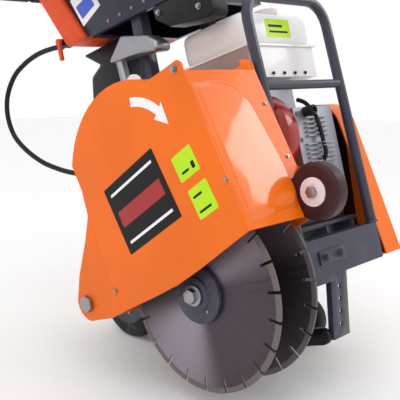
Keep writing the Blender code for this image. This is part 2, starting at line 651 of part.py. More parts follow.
bracket = box("leg_bracket", (0.098, BEAM_RIGHT + BEAM_PLATE + GAP, BEAM_LOW - 0.012),
              (BEAM_FRONT - BEAM_PLATE - GAP, LEG_NEAR_Y - 0.0015, 0.034),
              CHASSIS, "slate paint", 0.001)
strap = box("leg_clamp", (BEAM_FRONT + GAP, 0.176, 0.001), (BEAM_FRONT + GAP + 0.003, 0.252, 0.025), CHASSIS,
            "slate paint")
for bolt_y in (0.191, 0.237):
    shape = bmesh.new()
    bmesh.ops.create_cone(shape, cap_ends=True, segments=12, radius1=0.008, radius2=0.006, depth=0.011)
    place = Matrix.Translation((BEAM_FRONT + 0.007, bolt_y, 0.013)) @ Matrix.Rotation(pi / 2, 4, "Y")
    bmesh.ops.transform(shape, matrix=place, verts=shape.verts)
    add(strap, mesh_from(shape, "clamp_bolt"))

ARM = empty("front_arm_axis", CHASSIS, (ARM_PIVOT_X, 0, ARM_PIVOT_Z))
TO_AXLE = (AXLE_X - ARM_PIVOT_X, AXLE_Z - ARM_PIVOT_Z)
foot_x, foot_z = level(0.112, -0.108)
TO_FOOT = (foot_x - ARM_PIVOT_X, foot_z - ARM_PIVOT_Z)


def arm_outline(points, half):
    """A strip of constant width along a bent line, with round ends."""
    ways = [(Vector(b) - Vector(a)).normalized() for a, b in zip(points, points[1:])]
    sides = [Vector((-way.y, way.x)) for way in ways]
    start, end = degrees(atan2(ways[0].y, ways[0].x)), degrees(atan2(ways[-1].y, ways[-1].x))
    upper, lower = [], []
    for corner, before, after in zip(points[1:-1], sides, sides[1:]):
        across = (before + after).normalized() * half / cos(before.angle(after) / 2)
        upper.append(tuple(Vector(corner) + across))
        lower.append(tuple(Vector(corner) - across))
    return (arc(*points[0], half, start + 270, start + 90, 6) + upper
            + arc(*points[-1], half, end + 90, end - 90, 6) + lower[::-1])


PIN_HOLE = circle(0, 0, AXLE_DIAMETER / 2 + RUNNING)
AXLE_HOLE = circle(*TO_AXLE, AXLE_DIAMETER / 2 + GAP)
ARM_NEAR_Y = LEG_NEAR_Y - 0.003 - ARM_THICKNESS
ARM_FAR_Y = RAIL_FAR_Y - 0.003 - ARM_THICKNESS
plate("front_arm_near", [arm_outline([(0, 0), TO_AXLE, TO_FOOT], 0.016), PIN_HOLE, AXLE_HOLE],
      ARM_NEAR_Y, ARM_NEAR_Y + ARM_THICKNESS, ARM, "black plastic")
plate("front_arm_far", [arm_outline([(0, 0), TO_AXLE], 0.016), PIN_HOLE, AXLE_HOLE],
      ARM_FAR_Y, ARM_FAR_Y + ARM_THICKNESS, ARM, "black plastic")
rod("front_axle", AXLE_DIAMETER / 2, FRONT_WHEEL_NEAR_Y - 0.008, FRONT_WHEEL_FAR_Y + FRONT_WHEEL_WIDTH + 0.008,
    ARM, "bright steel", *TO_AXLE)
for wheel_name, wheel_y in (("front_wheel_near", FRONT_WHEEL_NEAR_Y), ("front_wheel_far", FRONT_WHEEL_FAR_Y)):
    hub = empty(wheel_name + "_axis", ARM, (TO_AXLE[0], wheel_y + FRONT_WHEEL_WIDTH / 2, TO_AXLE[1]))
    turned(wheel_name, wheel_profile(FRONT_WHEEL_DIAMETER / 2, FRONT_WHEEL_WIDTH, AXLE_DIAMETER / 2 + RUNNING,
                                     0.016, FRONT_WHEEL_WIDTH + 0.004, 0.006), hub, "rubber", sides=28)

# ---------------------------------------------------------------- crash frame
FRAME_FOOT_X, FRAME_TOP_X = 0.118, 0.106
FOOT_AIR = 0.001
hoop = [(FRAME_FOOT_X, CRASH_NEAR_Y, BEAM_HIGH + FOOT_AIR), (FRAME_TOP_X, CRASH_NEAR_Y, CRASH_TOP),
        (FRAME_TOP_X, CRASH_FAR_Y, CRASH_TOP), (FRAME_FOOT_X, CRASH_FAR_Y, BEAM_HIGH + FOOT_AIR)]
crash = tube("crash_frame", rounded(hoop, 0.048), CRASH_TUBE / 2, CHASSIS, "slate paint")
BAR_X = FRAME_FOOT_X + (FRAME_TOP_X - FRAME_FOOT_X) * (CRASH_BAR - BEAM_HIGH) / (CRASH_TOP - BEAM_HIGH)
add(crash, rod_mesh("crossbar", CRASH_TUBE / 2 - 0.002, CRASH_NEAR_Y, CRASH_FAR_Y, BAR_X, CRASH_BAR, 16))

# ---------------------------------------------------------------- engine
BASE = BED_Z + GAP
SHAFT_ROOM = CRANK_RADIUS + RUNNING
engine = box("engine_block", (CRANK_X - 0.085, 0.226, BASE), (CRANK_X + 0.078, 0.350, CRANK_Z + 0.042),
             CHASSIS, "cast aluminium")
add(engine, rod_mesh("crank_boss", 0.052, 0.349, 0.366, CRANK_X, CRANK_Z, 28))
add(engine, box_mesh("cylinder", (CRANK_X - 0.215, 0.240, CRANK_Z - 0.045),
                     (CRANK_X - 0.080, 0.336, CRANK_Z + 0.060)))
for fin in range(5):
    fin_x = CRANK_X - 0.205 + 0.022 * fin
    add(engine, box_mesh("cooling_fin", (fin_x, 0.230, CRANK_Z - 0.062), (fin_x + 0.007, 0.344, CRANK_Z + 0.072)))
cut(engine, rod_mesh("crank_bore", SHAFT_ROOM, 0.340, 0.380, CRANK_X, CRANK_Z))
soften(engine, 0.0025)

FAN_RADIUS = 0.084
FAN_START = 0.172
cover = turned("fan_cover", [(0, 0.2257), (FAN_RADIUS, 0.2257), (FAN_RADIUS, 0.195), (FAN_RADIUS - 0.008, 0.185),
                             (0.068, 0.182), (0.062, FAN_START), (0, FAN_START)],
               CHASSIS, "red paint", (CRANK_X, 0, CRANK_Z))
PULL_X, PULL_Z = CRANK_X + 0.030, CRANK_Z + 0.052
PULL = empty("pull_axis", CHASSIS, (PULL_X, 0.178, PULL_Z))
smooth(piece("starter_handle", pole_mesh("starter_handle", 0.009, 0.012, 0.048, 0.0, -0.013, 16), PULL,
             "black plastic"))

TANK_LOW, TANK_SEAM, TANK_HIGH = 0.362, 0.424, 0.492
TANK_REAR, TANK_FRONT, TANK_NEAR, TANK_FAR = -0.111, 0.062, 0.186, 0.393
tank = box("fuel_tank", (TANK_REAR, TANK_NEAR, TANK_SEAM - 0.004), (TANK_FRONT, TANK_FAR, TANK_HIGH), CHASSIS,
           "white paint")
soften(tank, 0.020, 3)
lower = box_mesh("tank_lower", (TANK_REAR + 0.002, TANK_NEAR + 0.002, TANK_LOW),
                 (TANK_FRONT - 0.002, TANK_FAR - 0.003, TANK_SEAM))
add(tank, lower)
seam = box_mesh("tank_seam", (TANK_REAR - 0.004, TANK_NEAR - 0.004, TANK_SEAM - 0.002),
                (TANK_FRONT + 0.004, TANK_FAR + 0.004, TANK_SEAM + 0.002))
add(tank, seam)
add(engine, box_mesh("tank_mount", (CRANK_X - 0.060, 0.250, CRANK_Z + 0.035),
                     (CRANK_X + 0.010, 0.330, TANK_LOW - GAP)))
CAP_X, CAP_Y = 0.004, 0.330
add(tank, pole_mesh("fuel_neck", 0.020, TANK_HIGH - 0.004, TANK_HIGH + 0.006, CAP_X, CAP_Y))
CAP = empty("fuel_cap_axis", CHASSIS, (CAP_X, CAP_Y, TANK_HIGH + 0.006 + GAP))
cap = smooth(piece("fuel_cap", pole_mesh("fuel_cap", 0.026, 0.0, 0.016, sides=28), CAP, "pale plastic"))
soften(cap, 0.003)

cleaner = plate("air_cleaner", [[(-0.428, 0.430), (-0.412, 0.494), (-0.374, 0.512), (-0.430, 0.550),
                                 (-0.290, 0.550), (-0.290, 0.385), (-0.400, 0.385)]], 0.182, 0.285, CHASSIS,
                "black plastic")
soften(cleaner, 0.008, 2)
add(cleaner, box_mesh("intake", (-0.335, 0.240, 0.236), (-0.300, 0.282, 0.400)))
add(cleaner, box_mesh("carburettor", (-0.336, 0.239, 0.235), (-0.1915, 0.283, 0.280)))
muffler = plate("muffler", [[(-0.243, 0.477), (-0.190, 0.519), (-0.112, 0.495), (-0.089, 0.476), (-0.092, 0.458),
                             (-0.143, 0.468)]], 0.100, 0.142, CHASSIS, "bright steel")
soften(muffler, 0.007, 2)
add(muffler, tube_mesh("exhaust", rounded([(-0.224, 0.121, 0.480), (-0.224, 0.132, 0.290), (-0.224, 0.2385, 0.290)],
                                          0.030), 0.011))

# ---------------------------------------------------------------- belt guard
def belt_guard_outline(wall):
    """Cover outline: round top at the engine, square front foot, round bottom at the shaft."""
    top, low = 0.058 - wall, DRIVEN_PULLEY_DIAMETER / 2 + 0.006 - wall
    lean = degrees(atan2(CRANK_Z, CRANK_X))
    rear = lean + 90 - degrees(atan2(low - top, hypot(CRANK_X, CRANK_Z)))
    return (arc(CRANK_X, CRANK_Z, top, 12, rear, 12) + arc(0, 0, low, rear, 300, 10)
            + [(0.070, -0.021 + wall), (0.128 - wall, -0.020 + wall)])


cover = plate("belt_guard", [belt_guard_outline(0)], BELT_GUARD_Y, BELT_GUARD_Y + BELT_GUARD_DEPTH,
              CHASSIS, "orange paint")
cut(cover, plate_mesh("belt_room", [belt_guard_outline(BELT_GUARD_WALL)], BELT_GUARD_Y - 0.01,
                      BELT_GUARD_Y + BELT_GUARD_DEPTH - BELT_GUARD_WALL))

# ---------------------------------------------------------------- console, tank, water and handle
CONSOLE_NEAR, CONSOLE_FAR = 0.132, 0.398
CONSOLE_TOP = 0.676
SLANT = (0.064, 0.119)
rise = (CONSOLE_TOP - CONSOLE_Z) / SLANT[1] * SLANT[0]
NOSE_Z = CONSOLE_Z - 0.008        # the console's lower edge drops a little toward the front
console = plate("console_body", [[(-0.050, NOSE_Z), (-0.050, CONSOLE_TOP), (-0.328 - rise, CONSOLE_TOP),
                                  (-0.328, CONSOLE_Z)]], CONSOLE_NEAR, CONSOLE_FAR, CHASSIS, "navy paint")
lean = rise / (CONSOLE_TOP - CONSOLE_Z)
cut(console, plate_mesh("console_inside", [[(-0.053, NOSE_Z + 0.003), (-0.053, CONSOLE_TOP - 0.003),
                                            (-0.325 - rise + 0.003 * lean, CONSOLE_TOP - 0.003),
                                            (-0.325 - 0.003 * lean, CONSOLE_Z + 0.003)]],
                        CONSOLE_NEAR + 0.003, CONSOLE_FAR - 0.003))
# a folded lip stays all round the open underside
cut(console, box_mesh("console_mouth", (-0.306, CONSOLE_NEAR + 0.012, NOSE_Z - 0.01),
                      (-0.065, CONSOLE_FAR - 0.012, CONSOLE_Z + 0.012)))
POST_TOP = CONSOLE_TOP - 0.003 - GAP
for post_name, post_y in (("console_post_near", 0.146), ("console_post_far", 0.352)):
    box(post_name, (POST_X, post_y, DECK_Z + DECK_THICKNESS + GAP), (POST_X + POST_SIZE, post_y + POST_SIZE, POST_TOP),
        CHASSIS, "slate paint", 0.003)
BRACKET_TOP = NOSE_Z - GAP
bracket = plate("console_bracket", [[(-0.116, BRACKET_TOP), (-0.112, 0.526), (-0.081, 0.503), (-0.024, 0.492),
                                     (0.032, 0.486), (0.040, 0.494), (0.040, BRACKET_TOP)]], 0.133, 0.181, CHASSIS,
                "black plastic")
soften(bracket, 0.003)

TANK_SLOPE = SLANT[0] / SLANT[1]


def slanted(low_z, high_z, rear, front):
    """Side of a slab that leans back with the console's rear edge."""
    return [(front - (low_z - CONSOLE_Z) * TANK_SLOPE, low_z), (front - (high_z - CONSOLE_Z) * TANK_SLOPE, high_z),
            (rear - (high_z - CONSOLE_Z) * TANK_SLOPE, high_z), (rear - (low_z - CONSOLE_Z) * TANK_SLOPE, low_z)]


WATER_TOP = 0.780
TANK_REAR_FOOT = -0.398
water_tank = plate("water_tank", [slanted(CONSOLE_Z, WATER_TOP, TANK_REAR_FOOT, -0.328 - 2 * GAP)], 0.122, 0.408,
                   CHASSIS, "red plastic")
soften(water_tank, 0.008, 2)
lid_x = -0.363 - (WATER_TOP - CONSOLE_Z) * TANK_SLOPE
LID = empty("water_cap_axis", CHASSIS, (lid_x, 0.265, WATER_TOP + GAP))
lid = smooth(piece("water_cap", pole_mesh("water_cap", 0.026, 0.0, 0.020, sides=28), LID, "black plastic"))
soften(lid, 0.003)

TAP = (-0.4215, 0.150, 0.579)
TAP_END = TAP[0] - 0.019


def pointing_back(name, wide, narrow, start, end, sides=16):
    """A rod along -x at the tap's height, tapering from start to end."""
    shape = bmesh.new()
    bmesh.ops.create_cone(shape, cap_ends=True, segments=sides, radius1=wide, radius2=narrow, depth=start - end)
    place = Matrix.Translation(((start + end) / 2, TAP[1], TAP[2])) @ Matrix.Rotation(-pi / 2, 4, "Y")
    bmesh.ops.transform(shape, matrix=place, verts=shape.verts)
    return mesh_from(shape, name)


tap = smooth(piece("water_tap", pointing_back("water_tap", 0.011, 0.011, -0.395, TAP[0] - 0.007), CHASSIS,
                   "black plastic"))
cut(tap, plate_mesh("tank_face", [slanted(CONSOLE_Z - 0.05, CONSOLE_Z + 0.10, TANK_REAR_FOOT - GAP * 1.2, -0.200)],
                    0.100, 0.200))
add(tap, rod_mesh("tap_side", 0.008, TAP[1] - 0.026, TAP[1], TAP[0], TAP[2], 16))
add(tap, pointing_back("tap_spout", 0.0085, 0.007, TAP[0] - 0.004, TAP_END))
TAP_AXIS = empty("tap_axis", CHASSIS, (TAP[0], TAP[1] - 0.026 - GAP, TAP[2]))
lever = rod("tap_lever", 0.008, -0.008, 0.0, TAP_AXIS, "red plastic", sides=16)
add(lever, box_mesh("tap_blade", (-0.005, -0.0075, -0.042), (0.005, -0.0015, 0.0)))

ELBOW = (-0.242, 0.1335, 0.262)
ELBOW_RADIUS = 0.0072
tube("hose_elbow", rounded([ELBOW, (ELBOW[0] + 0.056, ELBOW[1], ELBOW[2]),
                            (ELBOW[0] + 0.056, ELBOW[1], ELBOW[2] - 0.040)], 0.014), ELBOW_RADIUS, CHASSIS,
     "black plastic")

# handlebar: two arms joined at the rear, turning on the console's sides
HANDLE = empty("handle_axis", CHASSIS, (-0.240, 0, 0.636))
bar = rounded([(0.0, HANDLE_NEAR_Y, 0.0), (-0.300, HANDLE_NEAR_Y, 0.170), (-0.470, HANDLE_NEAR_Y, 0.170),
               (-0.470, HANDLE_FAR_Y, 0.170), (-0.300, HANDLE_FAR_Y, 0.170), (0.0, HANDLE_FAR_Y, 0.0)], 0.040, 4)
handlebar = tube("handlebar", bar, HANDLE_TUBE / 2, HANDLE, "slate paint")
for stub_start, stub_end in ((HANDLE_NEAR_Y, CONSOLE_NEAR - 0.0006), (CONSOLE_FAR + 0.0006, HANDLE_FAR_Y)):
    add(handlebar, rod_mesh("handle_boss", 0.018, stub_start, stub_end))
for grip_name, grip_y in (("grip_near", 0.160), ("grip_far", 0.270)):
    grip = turned(grip_name, [(HANDLE_TUBE / 2 + GAP, grip_y + 0.100), (0.0185, grip_y + 0.100), (0.0185, grip_y),
                              (HANDLE_TUBE / 2 + GAP, grip_y), (HANDLE_TUBE / 2 + GAP, grip_y + 0.100)],
                  HANDLE, "rubber", (-0.470, 0, 0.170), 24)

THROTTLE = empty("throttle_axis", CHASSIS, (-0.150, 0.190, CONSOLE_TOP + 0.016))
add(console, box_mesh("throttle_base", (-0.180, 0.1935, CONSOLE_TOP - 0.002), (-0.120, 0.206, CONSOLE_TOP + 0.030)))
throttle = rod("throttle_lever", 0.010, -0.010, 0.003, THROTTLE, "black plastic", sides=16)
add(throttle, pole_mesh("throttle_stick", 0.004, 0.0, 0.070, 0.0, -0.005, 12))
add(throttle, pole_mesh("throttle_knob", 0.009, 0.062, 0.086, 0.0, -0.005, 16))
STOP = empty("stop_axis", CHASSIS, (-0.150, 0.300, CONSOLE_TOP + GAP))
add(console, pole_mesh("stop_collar", 0.022, CONSOLE_TOP - 0.002, CONSOLE_TOP + 0.014, -0.150, 0.300, 24))
cut(console, pole_mesh("button_room", 0.0130, CONSOLE_TOP + 0.004, CONSOLE_TOP + 0.02, -0.150, 0.300, 24))
PRESS = empty("press_axis", STOP, (0, 0, 0.0085))
press = smooth(piece("stop_button", pole_mesh("stop_button", 0.0125, 0.0, 0.016, sides=24), PRESS, "red paint"))

# ---------------------------------------------------------------- water hose
HOSE_ROUTE = [(-0.4408, 0.150, 0.579), (-0.455, 0.150, 0.580), (-0.490, 0.146, 0.586), (-0.540, 0.139, 0.588),
              (-0.590, 0.131, 0.580), (-0.636, 0.122, 0.560), (-0.668, 0.112, 0.520), (-0.677, 0.106, 0.472),
              (-0.664, 0.104, 0.420), (-0.630, 0.106, 0.376), (-0.580, 0.112, 0.334), (-0.530, 0.119, 0.306),
              (-0.479, 0.126, 0.285), (-0.420, 0.131, 0.270), (-0.350, 0.1335, 0.263), (-0.290, 0.1335, 0.262),
              (-0.2424, 0.1335, 0.262)]


def smooth_route(points, steps):
    """Catmull-Rom curve through the route's own points."""
    ends = [2 * Vector(points[0]) - Vector(points[1])] + [Vector(p) for p in points]
    ends.append(2 * Vector(points[-1]) - Vector(points[-2]))
    path = []
    for a, b, c, d in zip(ends, ends[1:], ends[2:], ends[3:]):
        for i in range(steps):
            t = i / steps
            path.append(0.5 * (2 * b + (c - a) * t + (2 * a - 5 * b + 4 * c - d) * t ** 2
                               + (3 * b - a - 3 * c + d) * t ** 3))
    path.append(ends[-2])
    return path


tube("water_hose", smooth_route(HOSE_ROUTE, 3), HOSE_DIAMETER / 2, CHASSIS, "rubber", 2)


# ---------------------------------------------------------------- stand it on the floor, centred
def centre_on_floor(loose):
    """Move the whole saw so that its box, without the loose hose, is centred over the origin."""
    bpy.context.view_layer.update()
    graph = bpy.context.evaluated_depsgraph_get()
    low, high = Vector((1e9,) * 3), Vector((-1e9,) * 3)
    for obj in PARTS.objects:
        if obj.type != "MESH" or obj.name in loose:
            continue
        found = obj.evaluated_get(graph)
        mesh = found.to_mesh()
        for vert in mesh.vertices:
            place = found.matrix_world @ vert.co
            low = Vector(map(min, low, place))
            high = Vector(map(max, high, place))
        found.to_mesh_clear()
    SAW.location = (-(low.x + high.x) / 2, -(low.y + high.y) / 2, -low.z)
    bpy.context.view_layer.update()


centre_on_floor({"water_hose"})
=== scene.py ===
# %% [markdown]
# # A walk-behind concrete saw
#
# The saw stands on four wheels. A petrol engine turns two toothed discs through a belt, under
# an orange guard that swings up on a pivot. This file gives every piece its finish and adds the
# small pieces: stickers, bolts, welds, the hose and the grips' rings. The solids come from the
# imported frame, which also says which body each piece moves with.

# %% Load the frame
import json
from math import cos, pi, radians, sin

import bmesh
import bpy
from mathutils import Matrix, Vector


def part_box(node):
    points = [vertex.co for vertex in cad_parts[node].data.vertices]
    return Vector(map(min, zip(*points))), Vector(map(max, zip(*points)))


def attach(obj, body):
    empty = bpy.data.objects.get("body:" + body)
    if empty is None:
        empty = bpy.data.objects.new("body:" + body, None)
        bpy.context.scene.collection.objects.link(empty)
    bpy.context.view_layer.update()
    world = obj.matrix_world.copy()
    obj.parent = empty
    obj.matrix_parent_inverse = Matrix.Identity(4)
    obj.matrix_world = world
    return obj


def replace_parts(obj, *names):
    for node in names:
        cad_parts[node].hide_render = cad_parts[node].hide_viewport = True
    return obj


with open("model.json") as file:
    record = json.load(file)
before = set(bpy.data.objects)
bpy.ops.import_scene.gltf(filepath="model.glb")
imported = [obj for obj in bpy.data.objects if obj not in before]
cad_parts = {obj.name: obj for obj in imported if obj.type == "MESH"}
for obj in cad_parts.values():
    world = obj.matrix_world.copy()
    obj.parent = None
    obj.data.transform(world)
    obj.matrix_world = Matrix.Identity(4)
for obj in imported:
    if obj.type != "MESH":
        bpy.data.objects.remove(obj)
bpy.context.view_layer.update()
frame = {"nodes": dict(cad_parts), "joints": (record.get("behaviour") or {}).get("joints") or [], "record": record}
SCENE = bpy.context.scene
JOINTS = {joint["name"]: joint for joint in frame["joints"]}
SLOTS = {entry["node"]: entry["material_slot"] for entry in frame["record"]["subparts"]}
BODIES = {node: body for body, nodes in frame["record"]["behaviour"]["bodies"].items() for node in nodes}

# %% [markdown]
# ## Two frames to build in
#
# The saw stands nose-up on its wheels, and its guard is swung up further. Measuring on a tilted
# machine is awkward, so we work as its fitter would: x ahead along the deck, y to the left, z
# square to the deck, from the blade shaft. The guard gets the same kind of frame at its pivot.
# Both are worked out from the joints, so they follow the frame if it changes.

# %% Chassis frame and guard frame
SHAFT = Vector(JOINTS["blade_spin"]["pos_m"])
PIVOT = Vector(JOINTS["guard_swing"]["pos_m"])
SQUARE = Vector(JOINTS["starter_pull"]["axis"])
AHEAD = Vector((SQUARE.z, 0, -SQUARE.x))
GUARD_OPEN = radians(JOINTS["guard_swing"]["range_deg"][1])
CHASSIS = Matrix((AHEAD, (0, 1, 0), SQUARE)).transposed().to_4x4()
CHASSIS.translation = SHAFT
GUARD = Matrix.Translation(PIVOT) @ (CHASSIS.to_3x3() @ Matrix.Rotation(-GUARD_OPEN, 3, "Y")).to_4x4()
print("deck pitch", round(AHEAD.angle(Vector((1, 0, 0))) * 180 / pi, 1), "degrees")

# %% [markdown]
# ## Camera
#
# The camera stands ahead and to the right of the saw, about 0.4 m above the blade shaft, close
# enough that the handlebar and the console's top are out of view. Its direction back from
# the saw and its direction to the right are given, and the third follows. Colours are shown
# as they are, without a film curve that would wash out the orange.

# %% Camera
camera_data = bpy.data.cameras.new("camera")
camera_data.lens, camera_data.sensor_width = 63.09, 36
camera_data.dof.use_dof = False
camera = bpy.data.objects.new("camera", camera_data)
SCENE.collection.objects.link(camera)
looking_back = Vector((0.685, -0.704, 0.188)).normalized()
across = Vector((0.717, 0.697, 0.0))
to_the_right = (across - looking_back * looking_back.dot(across)).normalized()
upward = looking_back.cross(to_the_right)
camera.matrix_world = Matrix((to_the_right, upward, looking_back)).transposed().to_4x4()
camera.location = SHAFT + Vector((0.806, -0.830, 0.385))
SCENE.camera = camera
SCENE.view_settings.view_transform = "Standard"
print("camera at", [round(value, 3) for value in camera.location])

# %% [markdown]
# ## Node trees written as sums
#
# A procedural finish is a sum: base colour, plus dust where a mask is high, minus gloss where it
# is worn. `Wire` holds one output of a node and turns +, -, *, / and ** into Math nodes, so a
# finish reads as the sum that it is. `Graph.node` adds every other node, and it serves geometry
# trees as well, because both kinds have the same Math node.

# %% Wires and graphs
class Wire:
    """One output of a node. Arithmetic on it adds Math nodes."""

    def __init__(self, graph, socket):
        self.graph, self.socket = graph, socket

    def maths(self, operation, *values):
        return self.graph.node("ShaderNodeMath", {"operation": operation}, dict(enumerate(values)))

    def __add__(self, other):
        return self.maths("ADD", self, other)

    def __sub__(self, other):
        return self.maths("SUBTRACT", self, other)

    def __rsub__(self, other):
        return self.maths("SUBTRACT", other, self)

    def __mul__(self, other):
        return self.maths("MULTIPLY", self, other)

    def __truediv__(self, other):
        return self.maths("DIVIDE", self, other)

    def __pow__(self, other):
        return self.maths("POWER", self, other)

    def between(self, low, high):
        """0 below low, 1 above high and smooth between them."""
        return self.graph.node("ShaderNodeMapRange", {"interpolation_type": "SMOOTHSTEP"},
                               {"Value": self, "From Min": low, "From Max": high})

    __radd__ = __add__
    __rmul__ = __mul__


class Graph:
    """A node tree. node() adds one node: its settings first, then its sockets."""

    def __init__(self, tree):
        self.tree = tree

    def node(self, kind, settings=None, sockets=None, output=0):
        made = self.tree.nodes.new(kind)
        for name, value in (settings or {}).items():
            setattr(made, name, value)
        for name, value in (sockets or {}).items():
            if isinstance(value, Wire):
                self.tree.links.new(value.socket, made.inputs[name])
            else:
                made.inputs[name].default_value = value
        return Wire(self, made.outputs[output])


class Finish(Graph):
    """A material with a Principled shader. Numbers go on its sockets, wires into them."""

    def __init__(self, name, **constants):
        self.material = bpy.data.materials.new(name)
        self.material.use_nodes = True
        super().__init__(self.material.node_tree)
        self.shader = next(node for node in self.tree.nodes if node.type == "BSDF_PRINCIPLED")
        self.place = self.node("ShaderNodeTexCoord", output=3)
        for socket, value in constants.items():
            self.feed(socket.replace("_", " "), value)

    def feed(self, socket, value):
        if isinstance(value, Wire):
            self.tree.links.new(value.socket, self.shader.inputs[socket])
        else:
            self.shader.inputs[socket].default_value = value

    def noise(self, scale, detail=4.0, roughness=0.6):
        return self.node("ShaderNodeTexNoise", None, {"Vector": self.place, "Scale": scale, "Detail": detail,
                                                      "Roughness": roughness})

    def between(self, mask, first, second):
        """The first colour where the mask is 0 and the second where it is 1."""
        return self.node("ShaderNodeMix", {"data_type": "RGBA"}, {0: mask, 6: first, 7: second}, output=2)

    def height(self):
        return self.node("ShaderNodeSeparateXYZ", None, {"Vector": self.place}, output=2)

    def bump(self, wire, distance, strength=1.0):
        self.feed("Normal", self.node("ShaderNodeBump", None, {"Height": wire, "Distance": distance,
                                                               "Strength": strength}))


def colour(red, green, blue):
    """Linear colour from the 0-255 numbers of a paint chart."""
    return tuple((value / 255) ** 2.2 for value in (red, green, blue)) + (1.0,)


print("graph tools ready")

# %% [markdown]
# ## Paints
#
# Sprayed enamel is a coloured layer with a clear gloss. Close up it has a faint orange peel,
# and a machine that cuts concrete carries pale dust, most of it low down. The frame has a
# duller powder coat with a fine pebble. One function makes them all, from the colour, how
# glossy it is, how coarse its pebble is and how dusty.

# %% Paint finishes
DUST = colour(176, 168, 160)
FINISHES = {}


def paint(name, base, rough, gloss, pebble, dusty):
    """Sprayed paint with broad fading, fine specks, low dust and a pebbled surface."""
    finish = Finish(name, IOR=1.5, Coat_Roughness=0.06, Specular_IOR_Level=0.2)
    fade = finish.noise(5, 3)
    specks = finish.noise(90, 6, 0.7)
    low = 1 - finish.height().between(0.03, 0.45)
    dust = finish.noise(22, 7, 0.65).between(0.45, 0.8) * (low * 0.8 + 0.2) * dusty
    darker = tuple(value * 0.80 for value in base[:3]) + (1.0,)
    tinted = finish.between(fade.between(0.3, 0.7) * 0.6 + specks.between(0.62, 0.75) * 0.25, base, darker)
    finish.feed("Base Color", finish.between(dust, tinted, DUST))
    finish.feed("Roughness", rough + dust * 0.4 + specks * 0.06)
    finish.feed("Coat Weight", gloss - dust * gloss)
    finish.bump(finish.noise(pebble, 2, 0.5), 0.0002, 0.35)
    FINISHES[name] = finish.material
    return finish


paint("orange_paint", colour(238, 108, 10), 0.34, 0.14, 260, 0.02)
paint("orange_gloss", colour(238, 110, 14), 0.30, 0.85, 260, 0.0)
paint("slate_paint", colour(60, 60, 75), 0.38, 0.30, 700, 0.10)
paint("navy_paint", colour(38, 40, 58), 0.36, 0.40, 500, 0.10)
paint("red_paint", colour(158, 14, 18), 0.28, 0.60, 300, 0.10)
paint("white_paint", colour(236, 234, 233), 0.34, 0.40, 320, 0.06)
print("paints:", ", ".join(FINISHES))

# %% [markdown]
# ## Metals
#
# The discs are ground flat while they spin, so their marks are rings. Rings come from the distance
# to the shaft. The two bright wedges that fan out from the middle are a painted highlight: the glint
# that light makes on the ground rings is painted into the colour by the angle round the shaft, so it
# turns with the steel and doesn't follow the lamps. The rim is a different metal, so it gets its own finish later.
# Castings are matt and grainy; bolts and pins are zinc plated, with cloudy patches.

# %% Ground steel for the discs, with painted highlight wedges
# The angle round the shaft where the painted highlight is brightest.
PAINTED_HIGHLIGHT_TURN = radians(113)
blade = Finish("blade_steel", Metallic=1.0, IOR=1.5)
centred = blade.node("ShaderNodeMapping", {"vector_type": "TEXTURE"},
                     {"Vector": blade.place, "Location": SHAFT})
east = blade.node("ShaderNodeSeparateXYZ", None, {"Vector": centred}, output=0)
north = blade.node("ShaderNodeSeparateXYZ", None, {"Vector": centred}, output=2)
radius = (east * east + north * north) ** 0.5
angle = east.maths("ARCTAN2", north, east)
groove = radius * 5200
rings = groove.maths("SINE", groove)
ring_noise = blade.node("ShaderNodeTexNoise", {"noise_dimensions": "1D"}, {"W": radius * 900, "Detail": 5.0})
# Streaks round the shaft: painted sheen in the colour, and also a change of roughness.
painted_sheen_fans = blade.node("ShaderNodeTexNoise", {"noise_dimensions": "1D"}, {"W": angle * 3.5 + 1.6, "Detail": 2.0})
# Two opposite bright lobes round the shaft: the painted highlight.
double_turn = (angle + PAINTED_HIGHLIGHT_TURN) * 2
painted_highlight_lobes = double_turn.maths("COSINE", double_turn) * 0.5 + 0.5
soot = blade.noise(14, 6, 0.7)
worn = radius.between(0.10, 0.168)
# The disc's colour: mostly painted highlight and sheen streaks, with grinding rings and soot noise.
painted_sheen_grind_and_soot = painted_highlight_lobes.between(0.45, 1.0) * 0.72 + painted_sheen_fans * 0.14 + ring_noise * 0.10 + soot * 0.08
blade.feed("Base Color", blade.between(painted_sheen_grind_and_soot, colour(58, 51, 54), colour(160, 152, 164)))
blade.feed("Roughness", 0.34 + painted_sheen_fans * 0.18 + worn * 0.10 + ring_noise * 0.10)
blade.bump(rings * 0.3 + ring_noise, 0.00006, 0.6)
FINISHES["blade_steel"] = blade.material
print("disc steel built round", [round(value, 3) for value in SHAFT])


# %% Plated steel and castings
def metal(name, base, rough, grain, depth, metallic=1.0, stain=colour(120, 108, 98)):
    """Bare or plated metal with cloudy patches and a grain."""
    finish = Finish(name, Metallic=metallic, IOR=1.5)
    cloud = finish.noise(30, 5, 0.65)
    patch = finish.noise(11, 6, 0.7).between(0.52, 0.75)
    finish.feed("Base Color", finish.between(patch * 0.45, base, stain))
    finish.feed("Roughness", rough + cloud * 0.15 + patch * 0.12)
    finish.bump(finish.noise(grain, 4, 0.6), depth, 0.5)
    FINISHES[name] = finish.material


metal("bright_steel", colour(156, 156, 162), 0.28, 400, 0.00006)
metal("cast_aluminium", colour(158, 158, 166), 0.40, 420, 0.0004)
metal("weld", colour(86, 84, 96), 0.50, 300, 0.0004, 0.6)
metal("segment_grit", colour(118, 110, 110), 0.60, 900, 0.0006, 0.7)
print("metals:", len(FINISHES), "finishes so far")

# %% [markdown]
# ## Plastics and rubbers
#
# Moulded plastic has a fine even grain that scatters its highlight. Rubber is rougher and
# greyer where it is rubbed, and picks up dust. The water tank and its tap are a waxy
# orange-red plastic that lets a little light in, so it gets some subsurface.


